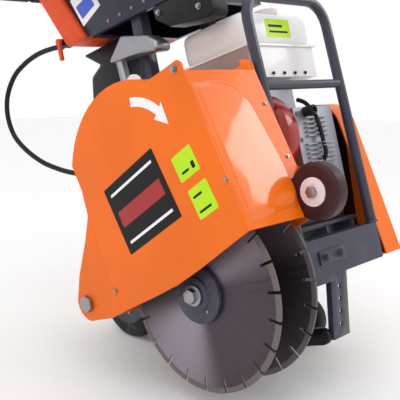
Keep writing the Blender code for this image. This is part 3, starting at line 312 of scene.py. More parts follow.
# %% Plastic and rubber finishes
def moulding(name, base, rough, grain, depth, dusty, **constants):
    """Plastic or rubber: an even grain, rubbed patches and dust low down."""
    finish = Finish(name, IOR=1.48, Specular_IOR_Level=0.28, **constants)
    rubbed = finish.noise(16, 6, 0.65).between(0.45, 0.75)
    low = 1 - finish.height().between(0.02, 0.35)
    dust = finish.noise(34, 7, 0.7).between(0.42, 0.75) * (low * 0.7 + 0.3) * dusty
    lighter = tuple(min(1.0, value * 1.6 + 0.004) for value in base[:3]) + (1.0,)
    finish.feed("Base Color", finish.between(dust, finish.between(rubbed * 0.35, base, lighter), DUST))
    finish.feed("Roughness", rough + rubbed * 0.12 + dust * 0.3)
    finish.bump(finish.noise(grain, 3, 0.6), depth, 0.5)
    FINISHES[name] = finish.material


moulding("black_plastic", colour(20, 19, 23), 0.38, 900, 0.0003, 0.05)
moulding("pale_plastic", colour(222, 206, 208), 0.38, 700, 0.0002, 0.15)
moulding("red_plastic", colour(216, 74, 30), 0.36, 500, 0.0002, 0.08, Subsurface_Weight=0.08,
         Subsurface_Scale=0.004)
moulding("rubber", colour(22, 22, 26), 0.42, 800, 0.0003, 0.05)
moulding("wheel_rubber", colour(26, 25, 28), 0.55, 500, 0.0005, 0.14)
moulding("roller_rubber", colour(58, 30, 32), 0.40, 450, 0.0004, 0.04)
moulding("black_film", colour(8, 8, 10), 0.42, 900, 0.00005, 0.0)
moulding("white_film", colour(236, 234, 238), 0.32, 900, 0.00005, 0.08)
moulding("lime_film", colour(176, 222, 24), 0.34, 900, 0.00005, 0.06)
moulding("blue_film", colour(70, 92, 190), 0.34, 900, 0.00005, 0.06)
# Near-black, for raised bars that stand in for vents and slots: painted shade of their dark insides.
moulding("painted_slot_shade", colour(10, 10, 12), 0.85, 300, 0.0002, 0.0)
print("finishes:", len(FINISHES))

# %% [markdown]
# ## Soft edges on the solids
#
# Folded plate, castings and mouldings have no knife edges, and it is the thin highlight along
# an edge that makes metal look real. Each solid comes as loose triangles. A copy is welded,
# its flat areas are joined to single faces, its sharp edges are bevelled, and curved surfaces
# are shaded smooth. The copy stands in for the solid and rides on the same body.


# %% Shading and soft-edge helpers
def shade(mesh, sharp=32):
    """Smooth shading that stays crisp at edges sharper than this angle."""
    mesh.polygons.foreach_set("use_smooth", [True] * len(mesh.polygons))
    mesh.set_sharp_from_angle(angle=radians(sharp))


def linked(name, mesh):
    obj = bpy.data.objects.new(name, mesh)
    SCENE.collection.objects.link(obj)
    return obj


def plain(obj):
    """The object's evaluated shape as a plain mesh; the object itself goes."""
    bpy.context.view_layer.update()
    graph = bpy.context.evaluated_depsgraph_get()
    mesh = bpy.data.meshes.new_from_object(obj.evaluated_get(graph), depsgraph=graph)
    name = obj.name
    bpy.data.objects.remove(obj)
    mesh.name = name
    return mesh


def soft_edged(node, edge):
    """A welded, bevelled and smooth-shaded copy of a solid, standing in for it."""
    shape = bmesh.new()
    shape.from_mesh(frame["nodes"][node].data)
    bmesh.ops.remove_doubles(shape, verts=shape.verts, dist=0.00002)
    bmesh.ops.dissolve_limit(shape, angle_limit=radians(0.6), verts=shape.verts, edges=shape.edges)
    mesh = bpy.data.meshes.new(node)
    shape.to_mesh(mesh)
    shape.free()
    obj = linked(node + "_finished", mesh)
    if edge:
        bevel = obj.modifiers.new("edge", "BEVEL")
        bevel.width, bevel.segments, bevel.limit_method, bevel.angle_limit = edge, 2, "ANGLE", radians(38)
        bevel.use_clamp_overlap = True
        obj = linked(obj.name, plain(obj))
    shade(obj.data)
    obj.data.materials.clear()
    obj.data.materials.append(FINISHES[SLOTS[node]])
    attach(obj, BODIES[node])
    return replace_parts(obj, node)


# %% Every solid gets its finish
# Most solids get the usual bevel. Some keep their edges as they are, and three get a wider bevel.
USUAL_EDGE = 0.0007
AS_THEY_ARE = ("blade_outer", "blade_inner", "drive_belt", "guard_shell", "belt_guard", "fuel_tank",
               "front_beam", "air_cleaner", "muffler")
OWN_EDGE = {"engine_block": 0.0012, "console_body": 0.0012, "fan_cover": 0.002,
            **dict.fromkeys(AS_THEY_ARE, 0.0)}
finished = {}
for node in sorted(frame["nodes"]):
    if node != "water_hose":
        finished[node] = soft_edged(node, OWN_EDGE.get(node, USUAL_EDGE))
print(len(finished), "solids finished,", sum(len(obj.data.polygons) for obj in finished.values()), "faces")

# %% [markdown]
# ## Water hose
#
# The hose is 12 mm black rubber, 0.83 m long. It leaves the tap backwards, droops round in one
# stiff loop under its own weight and comes forward to the elbow behind the guard. Both ends are
# on fittings. The tube is swept along a curve through chosen points, and each end gets a steel
# clip further down.

# %% Hose
HOSE_DIAMETER = 0.012
HOSE_POINTS = [(-0.4408, 0.150, 0.579), (-0.455, 0.150, 0.580), (-0.490, 0.146, 0.586),
               (-0.540, 0.139, 0.588), (-0.590, 0.131, 0.580), (-0.636, 0.122, 0.560),
               (-0.668, 0.112, 0.520), (-0.677, 0.106, 0.472), (-0.664, 0.104, 0.420),
               (-0.630, 0.106, 0.376), (-0.580, 0.112, 0.334), (-0.530, 0.119, 0.306),
               (-0.479, 0.126, 0.285), (-0.420, 0.131, 0.270), (-0.350, 0.1335, 0.263),
               (-0.290, 0.1335, 0.262), (-0.2424, 0.1335, 0.262)]


def through(points, steps):
    """A smooth path through the points, with this many steps between two of them."""
    points = [Vector(point) for point in points]
    ends = [2 * points[0] - points[1]] + points + [2 * points[-1] - points[-2]]
    path = []
    for a, b, c, d in zip(ends, ends[1:], ends[2:], ends[3:]):
        for step in range(steps):
            t = step / steps
            path.append(0.5 * (2 * b + (c - a) * t + (2 * a - 5 * b + 4 * c - d) * t ** 2
                               + (3 * b - a - 3 * c + d) * t ** 3))
    return path + [points[-1]]


def swept(name, path, radius, sides=16):
    """A round tube with closed ends along a path, carried round the bends without twisting."""
    shape = bmesh.new()
    across = (path[1] - path[0]).orthogonal().normalized()
    rings = []
    for index, point in enumerate(path):
        way = (path[min(index + 1, len(path) - 1)] - path[max(index - 1, 0)]).normalized()
        across = (across - way * across.dot(way)).normalized()
        side = way.cross(across)
        rings.append([shape.verts.new(point + (across * cos(turn) + side * sin(turn)) * radius)
                      for turn in (2 * pi * corner / sides for corner in range(sides))])
    for first, second in zip(rings, rings[1:]):
        for corner in range(sides):
            after = (corner + 1) % sides
            shape.faces.new((first[corner], first[after], second[after], second[corner]))
    shape.faces.new(rings[0][::-1])
    shape.faces.new(rings[-1])
    mesh = bpy.data.meshes.new(name)
    shape.to_mesh(mesh)
    shape.free()
    return mesh


def set_in_place(name, mesh, body, finish, place=CHASSIS, sharp=32):
    """Put a mesh made in a building frame where it belongs and let it ride on its body."""
    mesh.transform(place)
    shade(mesh, sharp)
    mesh.materials.clear()
    mesh.materials.append(FINISHES[finish])
    obj = linked(name, mesh)
    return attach(obj, body)


hose_path = [CHASSIS @ point for point in through(HOSE_POINTS, 6)]
hose = set_in_place("hose_tube", swept("hose_tube", hose_path, HOSE_DIAMETER / 2, 20), "chassis", "rubber",
                    Matrix.Identity(4))
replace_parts(hose, "water_hose")
hose_length = sum((b - a).length for a, b in zip(hose_path, hose_path[1:]))
print("hose length", round(hose_length, 3), "m")

# %% [markdown]
# ## Growing what repeats
#
# Bolts round a cover, ribs on a cap and teeth on a disc are one small shape, copied by a rule.
# Geometry Nodes suit that: the tree makes the small shape from named sizes, sets out the
# copies and turns them into real geometry. `ring_of` copies round an axis and `row_of` along a
# line. The result is frozen to a plain mesh before it rides on anything.


# %% Geometry trees
def growing(name, sizes, element):
    """A geometry tree: named inputs, an element from them, copied as the inputs say."""
    tree = bpy.data.node_groups.new(name, "GeometryNodeTree")
    tree.interface.new_socket(name="Geometry", in_out="OUTPUT", socket_type="NodeSocketGeometry")
    kinds = {int: "NodeSocketInt", float: "NodeSocketFloat", tuple: "NodeSocketVector"}
    for title, value in sizes.items():
        socket = tree.interface.new_socket(name=title, in_out="INPUT", socket_type=kinds[type(value)])
        socket.default_value = value
    tree.interface.new_socket(name="Finish", in_out="INPUT", socket_type="NodeSocketMaterial")
    graph = Graph(tree)
    gate = tree.nodes.new("NodeGroupInput")
    inputs = {socket.name: Wire(graph, socket) for socket in gate.outputs if socket.name}
    copies = element(graph, inputs)
    real = graph.node("GeometryNodeRealizeInstances", None, {"Geometry": copies})
    finished_shape = graph.node("GeometryNodeSetMaterial", None,
                                {"Geometry": real, "Material": inputs["Finish"]})
    end = tree.nodes.new("NodeGroupOutput")
    tree.links.new(finished_shape.socket, end.inputs[0])
    return tree


def ring_of(graph, inputs, element):
    """Copies of the element, turned about z in equal steps."""
    points = graph.node("GeometryNodeMeshLine", None, {"Count": inputs["Count"], "Offset": (0.0, 0.0, 0.0)})
    step = graph.node("GeometryNodeInputIndex") * (2 * pi) / inputs["Count"] + inputs["Phase"]
    turn = graph.node("ShaderNodeCombineXYZ", None, {"Z": step})
    return graph.node("GeometryNodeInstanceOnPoints", None,
                      {"Points": points, "Instance": element, "Rotation": turn})


def row_of(graph, inputs, element):
    """Copies of the element along a line."""
    points = graph.node("GeometryNodeMeshLine", None, {"Count": inputs["Count"], "Offset": inputs["Step"]})
    return graph.node("GeometryNodeInstanceOnPoints", None, {"Points": points, "Instance": element})


def joined(graph, *parts):
    join = graph.tree.nodes.new("GeometryNodeJoinGeometry")
    for part in parts:
        graph.tree.links.new(part.socket, join.inputs[0])
    return Wire(graph, join.outputs[0])


def moved(graph, part, x=0.0, z=0.0):
    offset = graph.node("ShaderNodeCombineXYZ", None, {"X": x, "Z": z})
    return graph.node("GeometryNodeTransform", None, {"Geometry": part, "Translation": offset})


def hexagon_bolt(graph, inputs):
    """A washer with a hexagon head on it, standing along z."""
    washer = graph.node("GeometryNodeMeshCylinder", None, {"Vertices": 24, "Radius": inputs["Head"] * 1.35,
                                                           "Depth": inputs["Head"] * 0.3})
    head = graph.node("GeometryNodeMeshCylinder", None, {"Vertices": 6, "Radius": inputs["Head"],
                                                         "Depth": inputs["Head"] * 0.9})
    return joined(graph, moved(graph, washer, z=inputs["Head"] * 0.15),
                  moved(graph, head, z=inputs["Head"] * 0.72))


BOLT_RING = growing("bolt_ring", {"Count": 4, "Phase": 0.0, "Circle": 0.05, "Head": 0.005},
                    lambda g, s: ring_of(g, s, moved(g, hexagon_bolt(g, s), x=s["Circle"])))
BOLT_ROW = growing("bolt_row", {"Count": 4, "Step": (0.05, 0.0, 0.0), "Head": 0.005},
                   lambda g, s: row_of(g, s, hexagon_bolt(g, s)))


def bar(graph, inputs):
    size = graph.node("ShaderNodeCombineXYZ", None, {"X": inputs["Length"], "Y": inputs["Width"],
                                                     "Z": inputs["Height"]})
    return graph.node("GeometryNodeMeshCube", None, {"Size": size})


RIB_RING = growing("rib_ring", {"Count": 12, "Phase": 0.0, "Circle": 0.03, "Length": 0.02, "Width": 0.003,
                                "Height": 0.004},
                   lambda g, s: ring_of(g, s, moved(g, bar(g, s), x=s["Circle"])))
RIB_ROW = growing("rib_row", {"Count": 8, "Step": (0.0, 0.0, 0.01), "Length": 0.02, "Width": 0.003,
                              "Height": 0.004}, lambda g, s: row_of(g, s, bar(g, s)))


def hoop(graph, inputs):
    """A thin round hoop about z."""
    line = graph.node("GeometryNodeCurvePrimitiveCircle", None,
                      {"Resolution": 40, "Radius": inputs["Circle"]})
    wire = graph.node("GeometryNodeCurvePrimitiveCircle", None,
                      {"Resolution": 8, "Radius": inputs["Thickness"]})
    return graph.node("GeometryNodeCurveToMesh", None, {"Curve": line, "Profile Curve": wire})


HOOP_ROW = growing("hoop_row", {"Count": 10, "Step": (0.0, 0.0, 0.008), "Circle": 0.018, "Thickness": 0.001},
                   lambda g, s: row_of(g, s, hoop(g, s)))


def tooth(graph, inputs):
    """A curved block, part of a ring about z."""
    line = graph.node("GeometryNodeCurveArc", None, {"Resolution": 7, "Radius": inputs["Circle"],
                                                     "Start Angle": inputs["Sweep"] * -0.5,
                                                     "Sweep Angle": inputs["Sweep"]})
    block = graph.node("GeometryNodeCurvePrimitiveQuadrilateral", None, {"Width": inputs["Depth"],
                                                                        "Height": inputs["Thickness"]})
    return graph.node("GeometryNodeCurveToMesh", None,
                      {"Curve": line, "Profile Curve": block, "Fill Caps": True})


TOOTH_RING = growing("tooth_ring", {"Count": 22, "Phase": 0.0, "Circle": 0.17, "Sweep": 0.24, "Depth": 0.01,
                                    "Thickness": 0.004}, lambda g, s: ring_of(g, s, tooth(g, s)))


def grown(name, tree, sizes, body, finish, place, sharp=32):
    """Grow a mesh from a tree with these sizes, freeze it and set it in place."""
    seed = linked(name, bpy.data.meshes.new(name))
    modifier = seed.modifiers.new("grow", "NODES")
    modifier.node_group = tree
    for socket in tree.interface.items_tree:
        if socket.in_out == "INPUT":
            given = {"Finish": FINISHES[finish], **sizes}
            modifier[socket.identifier] = given.get(socket.name, socket.default_value)
    mesh = plain(seed)
    shape = bmesh.new()
    shape.from_mesh(mesh)
    bmesh.ops.remove_doubles(shape, verts=shape.verts, dist=0.000005)
    bmesh.ops.recalc_face_normals(shape, faces=shape.faces)
    shape.to_mesh(mesh)
    shape.free()
    return set_in_place(name, mesh, body, finish, place, sharp)


def studs(name, start, step, count, head, body, finish, way, frame_matrix=CHASSIS):
    """A row of bolts: the first one's place and the step to the next, in the building frame."""
    place = facing(*start, way, frame_matrix)
    local_step = place.to_3x3().inverted() @ frame_matrix.to_3x3() @ Vector(step)
    sizes = {"Count": count, "Step": tuple(local_step), "Head": head}
    return grown(name, BOLT_ROW, sizes, body, finish, place)


def facing(x, y, z, way, frame_matrix=CHASSIS):
    """A place whose own z points the given way, at a point of the chassis or guard frame."""
    way = Vector(way).normalized()
    turn = way.to_track_quat("Z", "X" if abs(way.x) < 0.9 else "Y").to_matrix().to_4x4()
    return frame_matrix @ Matrix.Translation((x, y, z)) @ turn


NEAR, FAR, FORWARD = (0, -1, 0), (0, 1, 0), (1, 0, 0)
print("trees:", ", ".join(sorted(group.name for group in bpy.data.node_groups)))

# %% [markdown]
# ## Discs
#
# A floor saw's disc is a plain steel core with hard segments brazed round its rim, one between
# each two slots. The segments are a little thicker than the core, so that it runs clear in the
# cut, and they are rough and brownish. The ring of segments is a rule, so a tree makes it.

# %% Segments on both discs
DISC_RADIUS = 0.175
SEGMENTS = 22
PIN_PLACES = {"outer": -0.0105, "inner": 0.0845}
SEGMENT_PHASE = radians(-2.9) + pi / SEGMENTS
for disc in ("outer", "inner"):
    low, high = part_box("blade_" + disc)
    middle = (low.y + high.y) / 2 - SHAFT.y
    axis = CHASSIS @ Matrix.Translation((0, middle, 0)) @ Matrix.Rotation(pi / 2, 4, "X")
    grown("segments_" + disc, TOOTH_RING,
          {"Count": SEGMENTS, "Phase": SEGMENT_PHASE, "Circle": DISC_RADIUS - 0.0045,
           "Sweep": 2 * pi / SEGMENTS - 0.032, "Depth": 0.0094, "Thickness": 0.0040},
          "blade_rotor", "segment_grit", axis)
    grown("drive_pins_" + disc, BOLT_RING, {"Count": 2, "Phase": 0.6, "Circle": 0.037, "Head": 0.0026},
          "blade_rotor", "bright_steel", facing(0, PIN_PLACES[disc], 0, NEAR))
print("segments:", 2 * SEGMENTS)

# %% [markdown]
# ## Guard
#
# The guard is a folded box. Its front has a pressed field with big round corners at the far
# side, which stiffens the sheet and catches the light. It is made as rings of its own outline,
# drawn in towards the middle and raised along a smooth step, so the edge is a soft roll.


# %% Pressed front panel
def rounded_corner(centre_y, centre_z, radius, start, end, steps=8):
    turns = [radians(start + (end - start) * step / steps) for step in range(steps + 1)]
    return [(centre_y + radius * cos(turn), centre_z + radius * sin(turn)) for turn in turns]


def front_face(z):
    """How far ahead the guard's front face lies at a height."""
    return 0.4565 + 0.0669 * z


PANEL = ([(-0.047, 0.194), (0.005, 0.197)] + rounded_corner(0.018, 0.137, 0.060, 85, 5)
         + [(0.086, 0.090), (0.093, 0.040)] + rounded_corner(0.067, -0.012, 0.029, 10, -80)
         + [(-0.046, -0.044)])
PANEL_RISE = 0.0062


def evenly(outline, step):
    """Extra points along the straight stretches of a closed outline."""
    points = []
    for first, second in zip(outline, outline[1:] + outline[:1]):
        first, second = Vector(first), Vector(second)
        parts = max(1, round((second - first).length / step))
        points += [first.lerp(second, part / parts) for part in range(parts)]
    return points


def pressed_panel():
    """The raised field on the front, closed behind by a flat back just inside the sheet."""
    outline = evenly(PANEL, 0.008)
    middle = Vector((0.018, 0.078))
    shape = bmesh.new()
    rings = []
    for level in range(13):
        inward = 0.34 * (level / 12) ** 1.2
        rise = min(1.0, inward / 0.13)
        rise = PANEL_RISE * (rise * rise * (3 - 2 * rise)) + 0.0018 * inward
        ring = []
        for point in outline:
            spot = point.lerp(middle, inward)
            ring.append(shape.verts.new((front_face(spot.y) + rise + 0.0003, spot.x, spot.y)))
        rings.append(ring)
    count = len(outline)
    for first, second in zip(rings, rings[1:]):
        for index in range(count):
            after = (index + 1) % count
            shape.faces.new((first[index], first[after], second[after], second[index]))
    top = shape.verts.new((front_face(middle.y) + PANEL_RISE + 0.0020, middle.x, middle.y))
    back = [shape.verts.new((front_face(point.y) - 0.0004, point.x, point.y)) for point in outline]
    for index in range(count):
        after = (index + 1) % count
        shape.faces.new((rings[-1][index], rings[-1][after], top))
        shape.faces.new((back[after], rings[0][after], rings[0][index], back[index]))
    shape.faces.new(back)
    bmesh.ops.recalc_face_normals(shape, faces=shape.faces)
    mesh = bpy.data.meshes.new("pressed_panel")
    shape.to_mesh(mesh)
    shape.free()
    return mesh


panel = set_in_place("pressed_panel", pressed_panel(), "guard", "orange_gloss", GUARD, 60)
print("panel faces:", len(panel.data.polygons))

# %% [markdown]
# ## Stickers
#
# Stickers are thin film, so each is a plate 0.4 mm thick, and the marks on it stand at 0.6 mm. The
# big one on the guard's side is a black plate with two pale bars and a red band, the two lime ones
# have a few dark bars, and a white curved arrow shows which way the discs turn.

# %% Film plates
GUARD_SIDE = -0.050


def film(name, outlines, thickness, body, finish, place):
    """Flat plates cut to outlines in the place's x and y, standing out along its z."""
    shape = bmesh.new()
    for outline in outlines:
        lower = [shape.verts.new((*point, 0.0)) for point in outline]
        upper = [shape.verts.new((*point, thickness)) for point in outline]
        shape.faces.new(lower[::-1])
        shape.faces.new(upper)
        for index in range(len(outline)):
            after = (index + 1) % len(outline)
            shape.faces.new((lower[index], lower[after], upper[after], upper[index]))
    bmesh.ops.recalc_face_normals(shape, faces=shape.faces)
    mesh = bpy.data.meshes.new(name)
    shape.to_mesh(mesh)
    shape.free()
    return set_in_place(name, mesh, body, finish, place)


def card(x, y, width, height, radius=0.003):
    """A rectangle's outline with round corners, from its lower left corner."""
    points = []
    left, right, low, high = x + radius, x + width - radius, y + radius, y + height - radius
    corners = ((right, low, -90), (right, high, 0), (left, high, 90), (left, low, 180))
    for corner_x, corner_y, start in corners:
        points += rounded_corner(corner_x, corner_y, radius, start, start + 90, 5)
    return points


FILM, MARK = 0.0004, 0.0006
ON_SIDE = GUARD @ Matrix.Translation((0, GUARD_SIDE - 0.0001, 0)) @ Matrix.Rotation(pi / 2, 4, "X")
film("side_plate", [card(0.177, 0.026, 0.158, 0.129, 0.003)], FILM, "guard", "black_film", ON_SIDE)
film("side_plate_bars", [card(0.190, 0.134, 0.132, 0.005, 0.001), card(0.190, 0.042, 0.132, 0.005, 0.001)],
     MARK, "guard", "white_film", ON_SIDE)
film("side_plate_accent", [card(0.190, 0.074, 0.132, 0.030, 0.003)], MARK, "guard", "red_paint", ON_SIDE)
film("lime_plates", [card(0.366, 0.070, 0.051, 0.045), card(0.370, 0.001, 0.048, 0.052)], FILM,
     "guard", "lime_film", ON_SIDE)
film("lime_plate_marks", [card(0.402, 0.078, 0.008, 0.012, 0.002), card(0.376, 0.080, 0.018, 0.004, 0.001),
                          card(0.376, 0.036, 0.022, 0.004, 0.001), card(0.376, 0.010, 0.030, 0.004, 0.001)],
     MARK, "guard", "black_film", ON_SIDE)


def curved_arrow(middle_x, middle_y, radius, start, end, width, head):
    """A bent arrow: a band along an arc that ends in a triangle."""
    outer = rounded_corner(middle_x, middle_y, radius + width / 2, start, end + 14, 14)
    inner = rounded_corner(middle_x, middle_y, radius - width / 2, end + 14, start, 14)
    tip = (middle_x + radius * cos(radians(end - 4)), middle_y + radius * sin(radians(end - 4)))
    wings = [(middle_x + reach * cos(radians(end + 15)), middle_y + reach * sin(radians(end + 15)))
             for reach in (radius + head, radius - head)]
    return outer + [wings[0], tip, wings[1]] + inner


film("turn_arrow", [curved_arrow(0.293, 0.150, 0.103, 66, 12, 0.016, 0.017)], FILM, "guard",
     "white_film", ON_SIDE)

# %% [markdown]
# ## Folds and bolts on the guard
#
# A crease runs down the side plate near its tail, the hem along the bottom is rolled, and small
# bolts sit at three corners of the side and on the far flange. A fold is a thin tube that is
# partly sunk in the sheet.

# %% Creases and bolts
CREASE = [(x, GUARD_SIDE + 0.0008, z) for x, z in ((0.107, 0.143), (0.098, 0.092), (0.090, 0.033),
                                                   (0.089, -0.046))]
HEM = [(x, GUARD_SIDE + 0.001, z) for x, z in ((0.060, -0.047), (0.256, -0.0635), (0.449, -0.0545))]
for name, route, steps, radius in (("side_crease", CREASE, 5, 0.0018), ("bottom_roll", HEM, 6, 0.0020)):
    set_in_place(name, swept(name, through(route, steps), radius, 10), "guard", "orange_paint", GUARD, 60)
for name, x, z, head in (("top_bolt", 0.4555, 0.2290, 0.0052), ("nose_bolt", 0.4545, 0.0300, 0.0030),
                         ("tail_bolt", 0.0960, -0.0120, 0.0034)):
    studs(name, (x, GUARD_SIDE, z), (0, 0, 0), 1, head, "guard", "bright_steel", NEAR, GUARD)
studs("flange_bolts", (front_face(0.05), 0.111, 0.05), (0.0067, 0, 0.100), 2, 0.0030, "guard", "bright_steel",
      FORWARD, GUARD)

# %% [markdown]
# ## Fuel tank and engine
#
# The tank is blow moulded in two halves that meet at a seam, and dark screws hold it along its
# lower front. A plain lime plate stands where a fuel note would be. The fan cover's slots, which let
# air reach the fan, are near-black bars of painted shade for the dark inside of the slots, and the
# engine's black lead runs down its side.

# %% Tank and engine details
studs("tank_screws", (0.0620, 0.212, 0.369), (0, 0.034, 0), 5, 0.0026, "chassis", "black_plastic", FORWARD)
FACING_AHEAD = Matrix(((0, 0, 1, 0), (1, 0, 0, 0), (0, 1, 0, 0), (0, 0, 0, 1)))
ON_TANK = CHASSIS @ Matrix.Translation((0.0621, 0.0, 0.0)) @ FACING_AHEAD
film("tank_plate", [card(0.250, 0.440, 0.075, 0.036, 0.004)], FILM, "chassis", "lime_film", ON_TANK)
film("tank_plate_marks", [card(0.258, 0.460, 0.044, 0.005, 0.001), card(0.258, 0.449, 0.058, 0.004, 0.001)],
     MARK, "chassis", "black_film", ON_TANK)
# Near-black bars on the fan cover: painted shade where the vent slots' dark insides would show.
for ring, count, circle in ((1, 10, 0.028), (2, 16, 0.045)):
    grown("fan_vent_shade_%d" % ring, RIB_RING, {"Count": count, "Phase": 0.0, "Circle": circle, "Length": 0.011,
                                            "Width": 0.0042, "Height": 0.0016}, "chassis", "painted_slot_shade",
          facing(0.025, 0.1722, 0.250, NEAR))
grown("fan_cover_bolts", BOLT_RING, {"Count": 4, "Phase": pi / 4, "Circle": 0.0735, "Head": 0.0035},
      "chassis", "bright_steel", facing(0.025, 0.181, 0.250, NEAR))
for name, start, width in (("engine_fins_low", 0.186, 0.086), ("engine_fins_high", 0.236, 0.070)):
    grown(name, RIB_ROW, {"Count": 5, "Step": (0.0, 0.0, 0.0085), "Length": 0.008, "Width": width,
                          "Height": 0.003},
          "chassis", "cast_aluminium", CHASSIS @ Matrix.Translation((0.1055, 0.286, start)))
grown("plug_cap", HOOP_ROW, {"Count": 6, "Step": (0.0, 0.0, 0.004), "Circle": 0.007, "Thickness": 0.0026},
      "chassis", "rubber", facing(0.104, 0.262, 0.282, FORWARD))
studs("engine_bolts", (0.1032, 0.236, 0.180), (0, 0, 0.050), 3, 0.0036, "chassis", "bright_steel", FORWARD)
LEAD = [(0.075, 0.285, 0.312), (0.092, 0.285, 0.301), (0.107, 0.285, 0.278), (0.113, 0.285, 0.254),
        (0.115, 0.285, 0.222), (0.115, 0.285, 0.198), (0.103, 0.285, 0.182)]
set_in_place("engine_lead", swept("engine_lead", through(LEAD, 6), 0.0042, 12), "chassis", "rubber",
             CHASSIS, 60)
grown("lead_clips", HOOP_ROW, {"Count": 2, "Step": (0.0, 0.0, 0.006), "Circle": 0.0046, "Thickness": 0.0008},
      "chassis", "bright_steel", CHASSIS @ Matrix.Translation((0.115, 0.285, 0.214)))

# %% [markdown]
# ## Caps, grips and hose clips
#
# A cap is turned by hand, so its rim has ribs to hold. A rubber grip is ringed for the same
# reason, and a steel clip holds the hose at each end. Each is a rule round or along one axis, and
# rides on the piece that it belongs to.

# %% Ribs, rings and clips
for cap, count, up in (("fuel_cap", 24, 0.008), ("water_cap", 28, 0.009)):
    low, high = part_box(cap)
    middle = Vector(JOINTS[cap + "_twist"]["pos_m"])
    reach = (high.y - low.y) / 2
    axis = Matrix.Translation(middle) @ CHASSIS.to_3x3().to_4x4()
    grown(cap + "_ribs", RIB_RING,
          {"Count": count, "Circle": reach - 0.0004, "Length": 0.0022, "Width": 0.0026, "Height": 0.012},
          cap, SLOTS[cap], axis @ Matrix.Translation((0, 0, up)))
GRIP_RINGS = 12
for grip in ("grip_near", "grip_far"):
    low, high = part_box(grip)
    middle = (low + high) / 2
    step = (high.y - low.y - 0.012) / (GRIP_RINGS - 1)
    axis = Matrix.Translation((middle.x, high.y - 0.006, middle.z)) @ Matrix.Rotation(pi / 2, 4, "X")
    sizes = {"Count": GRIP_RINGS, "Step": (0.0, 0.0, step), "Circle": (high.z - low.z) / 2,
             "Thickness": 0.0012}
    grown(grip + "_rings", HOOP_ROW, sizes, BODIES[grip], "rubber", axis)
CLIP = {"Count": 3, "Step": (0.0, 0.0, 0.0022), "Circle": 0.0066, "Thickness": 0.0012}
grown("hose_clip_tap", HOOP_ROW, CLIP, "chassis", "bright_steel", facing(*HOSE_POINTS[1], (-1, 0, 0.05)))
grown("hose_clip_elbow", HOOP_ROW, CLIP, "chassis", "bright_steel", facing(-0.262, 0.1335, 0.262, FORWARD))

# %% [markdown]
# ## Wheels
#
# Each wheel is a pressed steel rim inside a solid rubber tyre. The rim's face is a dished disc
# with a ring of five studs, one on each side of the wheel.


# %% Dished discs for the wheels
def dished(name, profile, body, finish, place, sides=48):
    """A closed turned shape: half its outline in the plane, turned about z."""
    shape = bmesh.new()
    rings = []
    turns = [2 * pi * side / sides for side in range(sides)]
    for reach, level in profile:
        rings.append([shape.verts.new((reach * cos(turn), reach * sin(turn), level)) for turn in turns])
    for first, second in zip(rings, rings[1:] + rings[:1]):
        for index in range(sides):
            after = (index + 1) % sides
            shape.faces.new((first[index], first[after], second[after], second[index]))
    bmesh.ops.recalc_face_normals(shape, faces=shape.faces)
    mesh = bpy.data.meshes.new(name)
    shape.to_mesh(mesh)
    shape.free()
    return set_in_place(name, mesh, body, finish, place)


for wheel, radius_share in (("rear_wheel_near", 0.66), ("rear_wheel_far", 0.66), ("front_wheel_near", 0.60),
                            ("front_wheel_far", 0.60)):
    low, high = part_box(wheel)
    middle = Vector(JOINTS[wheel + "_spin"]["pos_m"])
    outside = (high.z - low.z) / 2
    rim = outside * radius_share
    for side, face, way in (("right", low.y, -1), ("left", high.y, 1)):
        place = Matrix.Translation((middle.x, face, middle.z)) @ Matrix.Rotation(-way * pi / 2, 4, "X")
        profile = [(rim, -0.0030), (rim, 0.0006), (rim * 0.94, 0.0012), (rim * 0.84, -0.0010),
                   (rim * 0.40, -0.0010), (rim * 0.34, 0.0008), (rim * 0.26, 0.0008), (rim * 0.26, -0.0030)]
        dished("%s_disc_%s" % (wheel, side), profile, wheel, "slate_paint", place)
        grown("%s_studs_%s" % (wheel, side), BOLT_RING,
              {"Count": 5, "Circle": rim * 0.60, "Head": outside * 0.035}, wheel, "bright_steel",
              place @ Matrix.Translation((0, 0, -0.0012)))
print("wheel discs done")

# %% [markdown]
# ## Console, belt guard and frame details
#
# The console is folded sheet, so it has rivets along its seam, and a pale sticker with a blue field
# on its side. The belt guard's slots, which let heat out, are near-black bars of painted shade for
# the dark inside of the slots. The crash hoop is welded to its feet, and a weld is a small rough
# bead all round the tube.

# %% Console and belt guard
ON_CONSOLE = CHASSIS @ Matrix.Translation((0, 0.1319, 0)) @ Matrix.Rotation(pi / 2, 4, "X")
film("console_sticker", [[(-0.336, 0.588), (-0.266, 0.612), (-0.292, 0.668), (-0.366, 0.656)]], FILM,
     "chassis", "white_film", ON_CONSOLE)
film("console_sticker_bars", [[(-0.334, 0.604), (-0.284, 0.619), (-0.298, 0.648), (-0.350, 0.636)]], MARK,
     "chassis", "blue_film", ON_CONSOLE)
studs("console_rivets", (-0.250, 0.1319, 0.572), (0.040, 0, 0), 5, 0.0026, "chassis", "bright_steel", NEAR)
for name, x, y, z in (("bracket_bolt", -0.098, 0.1328, 0.537), ("bracket_bolt_front", 0.010, 0.1328, 0.512)):
    studs(name, (x, y, z), (0, 0, 0), 1, 0.0045, "chassis", "bright_steel", NEAR)
low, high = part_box("belt_guard")
face_y = high.y - SHAFT.y
# Near-black bars on the belt guard's face: painted shade where the slots' dark insides would show.
grown("belt_guard_slot_shade", RIB_ROW,
      {"Count": 7, "Step": (0.011, 0.0, 0.0), "Length": 0.004, "Width": 0.050, "Height": 0.0014},
      "chassis", "painted_slot_shade", facing(-0.020, face_y, 0.125, FAR))

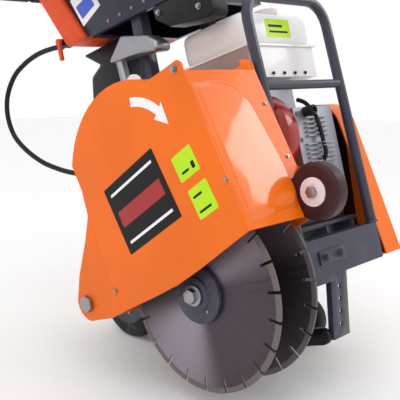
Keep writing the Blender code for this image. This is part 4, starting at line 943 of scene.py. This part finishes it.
# %% Welds round the feet of the crash hoop
for name, y in (("weld_near", 0.144), ("weld_far", 0.386)):
    grown(name, HOOP_ROW, {"Count": 1, "Step": (0.0, 0.0, 0.01), "Circle": 0.0112, "Thickness": 0.0024},
          "chassis", "weld", CHASSIS @ Matrix.Translation((0.1178, y, 0.0495)))

# %% [markdown]
# ## Floor and light
#
# A plain pale floor in a white surround, two large soft lights, and one bright panel placed
# where the guard's front mirrors it: gloss paint needs something bright to show.

# %% Studio
floor_mesh = bpy.data.meshes.new("floor")
floor_mesh.from_pydata([(-6, -6, 0), (6, -6, 0), (6, 6, 0), (-6, 6, 0)], [], [(0, 1, 2, 3)])
floor = linked("floor", floor_mesh)
floor_finish = Finish("floor_finish", Roughness=0.85)
pale, paler = (0.93, 0.93, 0.93, 1), (0.97, 0.97, 0.97, 1)
floor_finish.feed("Base Color", floor_finish.between(floor_finish.noise(3) * 0.5, pale, paler))
floor.data.materials.append(floor_finish.material)
world = bpy.data.worlds.new("studio")
world.use_nodes = True
world.node_tree.nodes["Background"].inputs["Color"].default_value = (1.0, 1.0, 1.0, 1.0)
world.node_tree.nodes["Background"].inputs["Strength"].default_value = 1.0
SCENE.world = world


def softbox(name, target, way, distance, width, height, power):
    """A rectangular light that shines at a point from a direction."""
    data = bpy.data.lights.new(name, "AREA")
    data.shape, data.size, data.size_y, data.energy = "RECTANGLE", width, height, power
    light = bpy.data.objects.new(name, data)
    SCENE.collection.objects.link(light)
    way = Vector(way).normalized()
    light.location = target + way * distance
    light.rotation_euler = way.to_track_quat("Z", "Y").to_euler()
    return light


MIDDLE = Vector((0.1, 0.0, 0.45))
softbox("top_box", MIDDLE, (0.2, -0.3, 1.0), 2.2, 1.8, 1.8, 8)
softbox("front_panel", GUARD @ Vector((0.46, 0.02, 0.10)), (0.36, 0.78, 0.46), 1.5, 0.50, 0.34, 2.6)
softbox("side_box", MIDDLE, (0.5, -1.0, 0.5), 2.4, 1.4, 1.4, 4)
print("lights:", len(bpy.data.lights))
